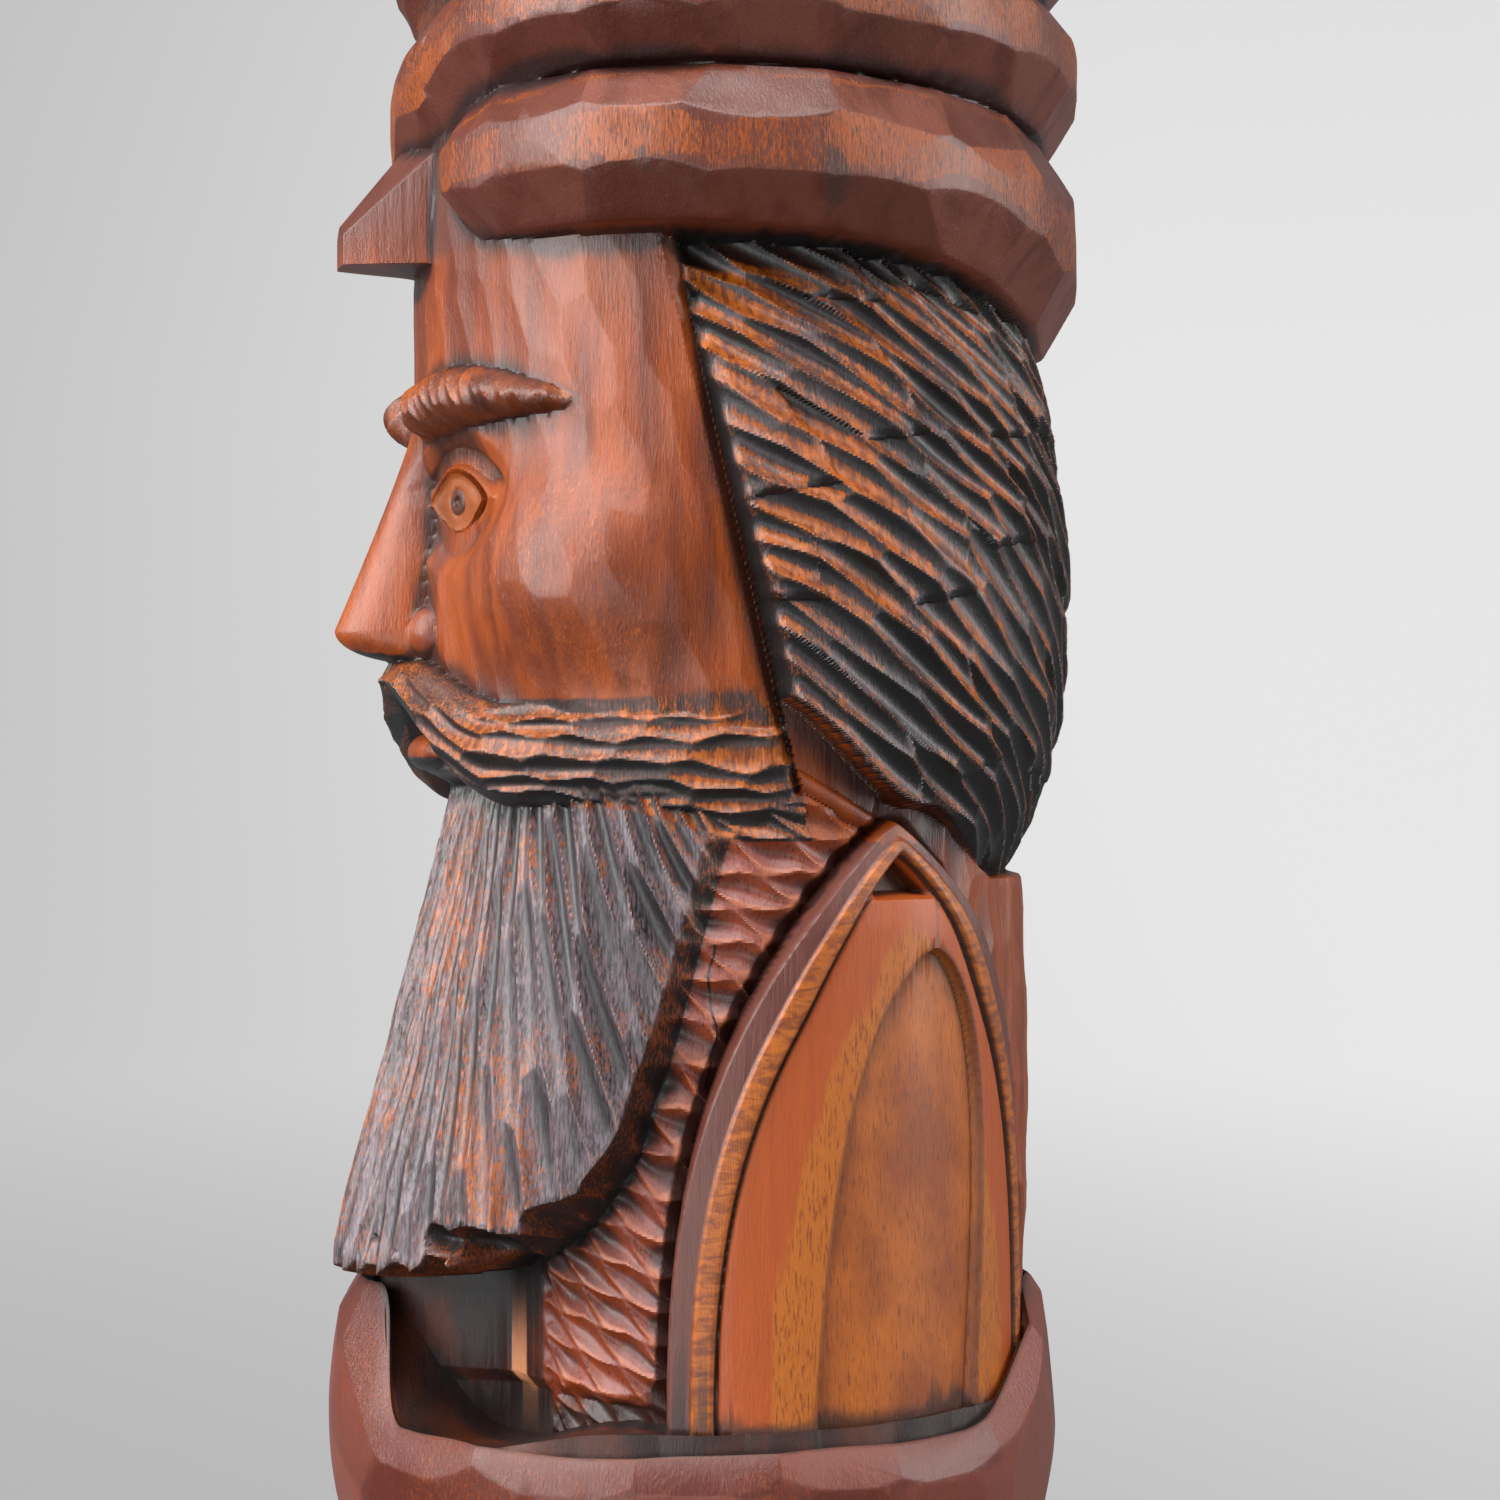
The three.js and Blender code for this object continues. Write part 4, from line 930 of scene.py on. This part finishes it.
def carve_pole(material):
    """Carves the whole log, then parts it at level cuts so that each piece stays a handy size."""
    turn, (radius, z, zone, tones) = skin_rows()
    points, triangles = closed_skin(turn, radius, z)
    marks = {
        name: np.append(values.ravel(), [0, 0])
        for name, values in finish_marks(turn, radius, z, zone, tones).items()
    }
    mesh = thinned(new_mesh("carving", points, triangles, marks), MOST_TRIANGLES)
    points, corners = numbers(mesh.vertices, "co", 3), numbers(mesh.loops, "vertex_index").reshape(-1, 3)
    normals = numbers(mesh.corner_normals, "vector", 3).reshape(-1, 3, 3)
    marks = {name: numbers(mesh.attributes[name].data, "value") for name in marks}
    height = points[corners, 2].mean(axis=1)
    edges = np.quantile(height, np.linspace(0, 1, len(PARTS) + 1))
    pieces = []
    for name, low, high in zip(PARTS, edges[:-1], edges[1:]):
        chosen = (height >= low) & ((height < high) | (high == edges[-1]))
        used, local = np.unique(corners[chosen], return_inverse=True)
        part = new_mesh(name, points[used], local.reshape(-1, 3), {k: v[used] for k, v in marks.items()})
        part.shade_smooth()
        part.normals_split_custom_set(normals[chosen].reshape(-1, 3))
        part.materials.append(material)
        piece = bpy.data.objects.new(name, part)
        bpy.context.scene.collection.objects.link(piece)
        pieces.append(piece)
    return pieces


# ---- shader maths ----
class Value:
    """A node's output that takes part in sums and products as a number does."""

    def __init__(self, graph, socket):
        self.graph, self.socket = graph, socket

    def math(self, operation, *others, clamped=False):
        settings = {"operation": operation, "use_clamp": clamped}
        return self.graph.node("ShaderNodeMath", settings, {i: v for i, v in enumerate((self, *others))})

    def __add__(self, other):
        return self.math("ADD", other)

    def __sub__(self, other):
        return self.math("SUBTRACT", other)

    def __rsub__(self, other):
        return self.graph.node("ShaderNodeMath", {"operation": "SUBTRACT"}, {0: other, 1: self})

    def __mul__(self, other):
        return self.math("MULTIPLY", other)

    __radd__ = __add__
    __rmul__ = __mul__

    def clamped(self):
        return self.math("ADD", 0.0, clamped=True)

    def steps(self, low, high):
        """0 below low and 1 above high, smooth between."""
        values = {"Value": self, "From Min": low, "From Max": high}
        return self.graph.node("ShaderNodeMapRange", {"interpolation_type": "SMOOTHSTEP"}, values)


class Graph:
    """A material's nodes, made one at a time by node()."""

    def __init__(self, tree):
        self.tree = tree
        tree.nodes.clear()

    def node(self, kind, settings=None, values=None, output=0):
        made = self.tree.nodes.new(kind)
        for name, setting in (settings or {}).items():
            setattr(made, name, setting)
        for name, value in (values or {}).items():
            if isinstance(value, Value):
                self.tree.links.new(value.socket, made.inputs[name])
            else:
                made.inputs[name].default_value = value
        return Value(self, made.outputs[output]) if made.outputs else None

    def mark(self, name):
        return self.node("ShaderNodeAttribute", {"attribute_name": name}, output="Fac")

    def blend(self, first, second, share):
        """A colour that goes from first to second."""
        values = {"Factor": share, 6: first, 7: second}
        return self.node("ShaderNodeMix", {"data_type": "RGBA"}, values, output=2)

    def place(self, scale):
        """The point on the piece, in metres, stretched."""
        here = self.node("ShaderNodeTexCoord", output="Object")
        return self.node("ShaderNodeVectorMath", {"operation": "MULTIPLY"}, {0: here, 1: scale})

    def noise(self, scale, detail, rough, distort=0.0):
        values = {"Vector": self.place(scale), "Scale": 1.0, "Detail": detail, "Roughness": rough}
        return self.node("ShaderNodeTexNoise", None, {**values, "Distortion": distort})


# grain_depth is in metres.
VARNISH = Sizes(roughness=0.3, coat=0.14, coat_roughness=0.26, saturation=1.14, bump=0.7, grain_depth=0.0006)


def paint(red, green, blue):
    """A colour from its usual 0 to 255 numbers."""
    linear = [((c / 255 + 0.055) / 1.055) ** 2.4 if c > 10 else c / 255 / 12.92 for c in (red, green, blue)]
    return (*linear, 1.0)


class Wood:
    """The grain that every coloured part of the wood shares. It runs up and down the log."""

    def __init__(self, g):
        self.g = g
        self.grain = g.noise((420, 420, 30), 6, 0.62, 0.4)
        self.figure = g.noise((60, 60, 8), 3, 0.5, 0.8)
        self.patches = g.noise((28, 28, 20), 4, 0.6)
        self.ticks = g.noise((1300, 1300, 190), 3, 0.6)
        self.brush = g.noise((1300, 1300, 360), 5, 0.75, 0.3)
        self.spots = g.noise((150, 150, 110), 3, 0.6)

    def rubbed(self, share):
        """Where dry colour catches on the grain: a speckle that closes up as share rises to 1."""
        return (self.brush + share * 0.44 - 0.3).steps(0.42, 0.56)


def turban_colour(wood):
    """Mauve stain, another tone on each flat cut, worn to orange along the middle row, with dark chips."""
    g, row, tone = wood.g, wood.g.mark("cut_row"), wood.g.mark("tone")
    middle = row.steps(0.3, 0.7) * (1 - row.steps(1.3, 1.7))
    mauve = g.blend(paint(84, 45, 36), paint(116, 68, 55), tone)
    mauve = g.blend(mauve, paint(74, 31, 19), wood.figure.steps(0.42, 0.66) * 0.7)
    orange = g.blend(paint(110, 51, 21), paint(160, 84, 38), wood.grain)
    share = (middle * (0.62 + tone * 0.3) + row.steps(1.3, 1.7) * tone * 0.4).clamped()
    worn = wood.rubbed(share * (0.25 + wood.patches * 1.2))
    colour = g.blend(mauve, orange, worn * (share * 3).clamped())
    chipped = (g.mark("chip") * (wood.ticks * 2.2 - 0.2)).steps(0.3, 0.5)
    colour = g.blend(colour, g.blend(paint(24, 15, 13), paint(92, 58, 46), wood.brush), chipped)
    return g.blend(colour, paint(50, 24, 18), wood.ticks.steps(0.56, 0.68) * share)


def black_colour(wood, soft, rub):
    """Blackened hair: painted shade in black on the down-facing flank under each ridge, grey streaks over the
    black that are partly a painted sheen, rubbed through to orange wood where a hand passes but kept to the
    up-facing flanks, which is partly painted light, and paler ridge tops that are partly wear and partly a
    painted highlight.
    """
    g, proud, under = wood.g, wood.g.mark("proud"), wood.g.mark("under")
    streaks = wood.ticks.steps(0.36, 0.62) * 0.6 + wood.figure.steps(0.35, 0.7) * 0.4
    # painted shade: black where the flank faces down, grey streaks where it doesn't
    stain_and_shade = g.blend(paint(14, 13, 14), soft, streaks * (1 - under.steps(0.45, 0.8)))
    share = (1 - under.steps(0.35, 0.7)) * rub * (wood.patches * 2.4 - 0.5).clamped()
    orange = g.blend(paint(96, 46, 24), paint(170, 98, 56), wood.grain.steps(0.35, 0.65))
    colour = g.blend(stain_and_shade, orange, wood.rubbed(share * 1.3) * (share * 2.5).clamped() * 0.9)
    # paler ridge tops: partly wear, partly a painted highlight
    return g.blend(colour, paint(150, 96, 70), proud.steps(0.85, 1.0) * wood.rubbed(0.6) * 0.5 * rub)


def scale_colour(wood):
    """Rosy scales, browner where a hand rubs them and more so on the down-facing upper part of each scoop, a
    painted split of light and shade; paler on their ridges, partly wear and partly a painted highlight; with
    one black crack.
    """
    g, proud, under = wood.g, wood.g.mark("proud"), wood.g.mark("under")
    rosy = g.blend(paint(92, 46, 38), paint(128, 74, 66), wood.patches.steps(0.35, 0.65))
    # painted split of light and shade: the down-facing part of each scoop rubs browner
    rosy = g.blend(rosy, paint(140, 70, 38), wood.rubbed(wood.figure * 0.7 + under * 0.4) * 0.7)
    rosy = g.blend(rosy, paint(60, 30, 24), wood.ticks.steps(0.54, 0.66) * 0.7)
    # paler ridges: partly wear, partly a painted highlight
    rosy = g.blend(rosy, paint(176, 116, 92), proud.steps(0.74, 1.0) * 0.5)
    crack = g.mark("crack")
    return g.blend(rosy, paint(20, 10, 8), 1 - (crack * crack).steps(0.04, CRACK.half_width))


def sleeve_colour(wood):
    """From the edge inwards: a mauve strip, a natural one, the reddish panel and the bare inner arch."""
    g, sleeve, arch = wood.g, wood.g.mark("sleeve"), wood.g.mark("inner_arch")
    mauve = g.blend(paint(70, 40, 36), paint(102, 60, 50), wood.grain)
    slanted = g.noise((120, 120, 420), 5, 0.6, 0.6)
    natural = g.blend(paint(112, 52, 18), paint(166, 92, 38), slanted.steps(0.36, 0.64))
    pink = g.blend(paint(140, 66, 40), paint(172, 94, 60), wood.grain)
    amber = g.blend(paint(146, 74, 30), paint(186, 112, 52), wood.brush)
    amber = g.blend(amber, paint(112, 52, 24), wood.ticks.steps(0.52, 0.64) * 0.8)
    banded = (sleeve.steps(1.5, 2.4) * 0.5 + wood.figure * 1.1 - 0.3).steps(0.42, 0.58)
    panel = g.blend(pink, amber, banded)
    olive = g.blend(paint(132, 62, 16), paint(180, 98, 34), wood.patches.steps(0.3, 0.7))
    olive = g.blend(olive, paint(84, 42, 20), wood.ticks.steps(0.52, 0.68) * 0.6)
    panel = g.blend(panel, olive, arch.steps(-0.2, 0.5))
    panel = g.blend(panel, paint(84, 46, 26), (1 - (arch * arch).steps(0.1, 1.4)) * 0.6)
    colour = g.blend(mauve, natural, sleeve.steps(0.5, 0.56))
    colour = g.blend(colour, panel, sleeve.steps(0.98, 1.02))
    slit = 1 - ((sleeve - 1.0) * (sleeve - 1.0)).steps(0.0004, 0.0042)
    return g.blend(colour, paint(24, 12, 10), slit * 0.9)


def skin_colour(wood):
    """The face: brown stain with the log's figure in it, rubbed lighter, with short dark pores."""
    g = wood.g
    skin = g.blend(paint(98, 44, 25), paint(142, 73, 43), wood.figure.steps(0.34, 0.66))
    skin = g.blend(skin, paint(168, 94, 52), wood.rubbed(wood.patches * 0.9 - 0.1) * 0.7)
    return g.blend(skin, paint(66, 28, 18), wood.ticks.steps(0.56, 0.7) * 0.5)


def basin_colour(wood):
    """Basin and foot: mauve stain, another tone on each flat cut, rubbed to brown."""
    g = wood.g
    dish = g.blend(paint(82, 38, 30), paint(118, 68, 58), g.mark("tone"))
    return g.blend(dish, paint(146, 74, 38), wood.rubbed(wood.patches * 0.9 - 0.05) * 0.6)


def beard_colour(wood):
    """Grey over black, the grey partly a painted sheen, with painted shade darkest at the bottom of the
    flutes.
    """
    locks = black_colour(wood, paint(112, 98, 104), 0.6)
    # painted shade: black at the bottom of each flute
    return wood.g.blend(locks, paint(22, 18, 20), (1 - wood.g.mark("proud")).steps(0.5, 0.85) * 0.9)


def whole_colour(wood):
    """Each part's own stain, one laid over another, with painted shade in the hollow and under the beard, and
    black painted shade in the creases.
    """
    g = wood.g
    crease, hair, beard = g.mark("crease"), g.mark("hair"), g.mark("beard")
    black_hair = black_colour(wood, paint(74, 62, 64), 0.88)
    black_lip = black_colour(wood, paint(74, 48, 42), 0.9)
    wear = wood.rubbed(wood.patches * 0.8 + g.mark("proud") * 0.3)
    # the cut wall round the beard: nearly black, rubbed through to brown
    wall_dark = g.blend(paint(20, 14, 12), paint(120, 62, 36), wear)
    # painted shade: the hollow inside the basin and the chest under the beard are painted dark
    inside = g.blend(paint(34, 17, 15), paint(74, 36, 22), wood.patches.steps(0.4, 0.6))
    bare = g.blend(paint(168, 110, 84), paint(214, 162, 130), wood.ticks)

    colour = g.blend(skin_colour(wood), basin_colour(wood), g.mark("basin"))
    colour = g.blend(colour, scale_colour(wood), g.mark("chest"))
    colour = g.blend(colour, sleeve_colour(wood), g.mark("sleeve").steps(-0.02, 0.02))
    colour = g.blend(colour, turban_colour(wood), g.mark("turban"))
    colour = g.blend(colour, black_hair, (hair + g.mark("brow") * 0.6).clamped())
    colour = g.blend(colour, beard_colour(wood), beard)
    colour = g.blend(colour, black_lip, g.mark("moustache"))
    colour = g.blend(colour, wall_dark, g.mark("wall"))
    colour = g.blend(colour, inside, g.mark("hollow"))
    colour = g.blend(colour, bare, g.mark("block"))
    # painted shade: black laid into the creases and into the corner by the basin's floor
    colour = g.blend(colour, paint(12, 8, 8), crease.steps(0.2, 0.85) * (0.8 + beard * 0.14 + hair * 0.14))
    colour = g.blend(colour, paint(134, 84, 58), g.mark("eye") * 0.6)
    return g.blend(colour, paint(40, 22, 16), g.mark("iris") * 0.85)


def wood_stain_and_painted_light():
    """The one finish of the whole log: stain, rubbed wood, painted shade and highlights, and a thin old
    varnish over fine grain.
    """
    material = bpy.data.materials.new("wood_stain_and_painted_light")
    material.use_nodes = True
    g = Graph(material.node_tree)
    wood = Wood(g)
    beard, hollow, wall, sleeve = g.mark("beard"), g.mark("hollow"), g.mark("wall"), g.mark("sleeve")
    height = wood.grain * 0.45 + wood.ticks * 0.4 + wood.brush * 0.5 + wood.spots * 0.7
    dull = hollow * 0.14 + wall * 0.2 + (sleeve - 0.5).clamped() * 0.12
    colour = {"Saturation": VARNISH.saturation, "Color": whole_colour(wood)}
    bump = {"Strength": VARNISH.bump, "Distance": VARNISH.grain_depth, "Height": height}
    shader = g.node("ShaderNodeBsdfPrincipled", None, {
        "Base Color": g.node("ShaderNodeHueSaturation", None, colour),
        "Roughness": (VARNISH.roughness + wood.grain * 0.16 + dull).clamped(),
        "Normal": g.node("ShaderNodeBump", None, bump),
        "Specular IOR Level": 0.5,
        "Coat Weight": (VARNISH.coat + beard * 0.1 - hollow * 0.1).clamped(),
        "Coat Roughness": VARNISH.coat_roughness,
    })
    g.node("ShaderNodeOutputMaterial", None, {"Surface": shader})
    return material


def painted_light_stage():
    """A backdrop that glows with painted light: darker to one side, with a painted shadow near the pole's
    foot, and a little darker high on the wall.
    """
    material = bpy.data.materials.new("painted_light_stage")
    material.use_nodes = True
    g = Graph(material.node_tree)
    place = g.place((1, 1, 1))
    sideways = g.node("ShaderNodeSeparateXYZ", None, {"Vector": place}, output="Y").steps(-0.9, 1.6)
    away = g.node("ShaderNodeVectorMath", {"operation": "LENGTH"}, {0: place}, output="Value")
    painted_glow = g.blend(paint(188, 188, 188), paint(229, 229, 229), sideways)
    # painted shadow round the pole's foot, stronger on the darker side
    painted_foot_shadow = (1 - away.steps(0.1, 2.6)) * (1.3 - sideways)
    painted_glow = g.blend(painted_glow, paint(150, 150, 150), (painted_foot_shadow * 0.5).clamped())
    painted_glow = g.blend(painted_glow, paint(160, 160, 160), away.steps(3.8, 4.4) * 0.25)
    shader = g.node("ShaderNodeBsdfPrincipled", None, {
        "Base Color": paint(20, 20, 20),
        "Roughness": 1.0,
        "Emission Color": painted_glow,
        "Emission Strength": 1.0,
    })
    g.node("ShaderNodeOutputMaterial", None, {"Surface": shader})
    return material


# ---- floor and backdrop, camera and light, in metres ----
STAGE = Sizes(radius=2.6, inner_ring=0.6, bend=1.2, bend_steps=12, top=3.2, sides=96)


def stage_profile():
    """Radius and height of each ring of the floor, the bend and the wall."""
    profile = [(STAGE.inner_ring, 0.0), (STAGE.radius, 0.0)]
    for step in range(1, STAGE.bend_steps + 1):
        angle = math.pi / 2 * step / STAGE.bend_steps
        out, up = STAGE.bend * math.sin(angle), STAGE.bend * (1 - math.cos(angle))
        profile.append((STAGE.radius + out, up))
    return profile + [(STAGE.radius + STAGE.bend, STAGE.top)]


def build_stage():
    """A round studio floor that curves up into a wall, seen but not casting light on the pole; it glows with
    its own painted light.
    """
    profile, sides = stage_profile(), STAGE.sides
    points = [(0.0, 0.0, 0.0)]
    for radius, z in profile:
        for i in range(sides):
            angle = 2 * math.pi * i / sides
            points.append((radius * math.cos(angle), radius * math.sin(angle), z))
    faces = []
    for i in range(sides):
        after = (i + 1) % sides
        faces.append((0, 1 + i, 1 + after))
        for ring in range(len(profile) - 1):
            a, b = 1 + ring * sides + i, 1 + ring * sides + after
            faces.append((a, a + sides, b + sides, b))
    mesh = bpy.data.meshes.new("studio_floor")
    mesh.from_pydata(points, [], faces)
    mesh.shade_smooth()
    mesh.materials.append(painted_light_stage())
    floor = bpy.data.objects.new("studio_floor", mesh)
    bpy.context.scene.collection.objects.link(floor)
    floor.visible_diffuse = False
    floor.visible_glossy = False
    floor.visible_shadow = False


VIEW = Sizes(azimuth=76.0, height=0.359, distance=1.1, across=0.0173, width=0.5184)
AIM = 0.36


def direction(azimuth, elevation=0.0):
    """A unit step away from the pole. Azimuth 0 is towards the front."""
    a, e = math.radians(azimuth), math.radians(elevation)
    return (math.sin(a) * math.cos(e), -math.cos(a) * math.cos(e), math.sin(e))


def build_camera():
    """A level camera; the view is VIEW.width wide where the pole stands."""
    data = bpy.data.cameras.new("camera")
    data.sensor_width = 36
    data.lens = data.sensor_width * VIEW.distance / VIEW.width
    camera = bpy.data.objects.new("camera", data)
    x, y, _ = direction(VIEW.azimuth)
    right = (-y, x)
    camera.location = (
        x * VIEW.distance + right[0] * VIEW.across,
        y * VIEW.distance + right[1] * VIEW.across,
        VIEW.height,
    )
    camera.rotation_euler = (math.pi / 2, 0, math.radians(VIEW.azimuth))
    bpy.context.scene.collection.objects.link(camera)
    bpy.context.scene.camera = camera


def softbox(name, azimuth, elevation, distance, size, power):
    """A rectangular light of a width and height, turned to the pole's middle height."""
    data = bpy.data.lights.new(name, "AREA")
    data.shape = "RECTANGLE"
    data.size, data.size_y = size
    data.energy = power
    lamp = bpy.data.objects.new(name, data)
    x, y, z = direction(azimuth, elevation)
    lamp.location = (x * distance, y * distance, z * distance + AIM)
    lamp.rotation_euler = (math.radians(90 - elevation), 0, math.radians(azimuth))
    bpy.context.scene.collection.objects.link(lamp)


def build_light():
    softbox("front_softbox", 12, 22, 1.7, (0.9, 1.5), 50)
    softbox("top_softbox", 70, 62, 1.8, (1.6, 0.6), 40)
    softbox("low_softbox", 58, -14, 2.0, (1.6, 0.6), 12)
    softbox("back_softbox", 158, 14, 1.9, (0.5, 1.5), 28)
    bpy.context.scene.view_settings.view_transform = "Standard"
    world = bpy.data.worlds.new("studio")
    world.use_nodes = True
    g = Graph(world.node_tree)
    light = g.node("ShaderNodeBackground", None, {"Color": paint(232, 236, 242), "Strength": 0.3})
    g.node("ShaderNodeOutputWorld", None, {"Surface": light})
    bpy.context.scene.world = world


build_camera()
build_light()
build_stage()
for part in carve_pole(wood_stain_and_painted_light()):
    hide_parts(NODE)
    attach(part, "root")
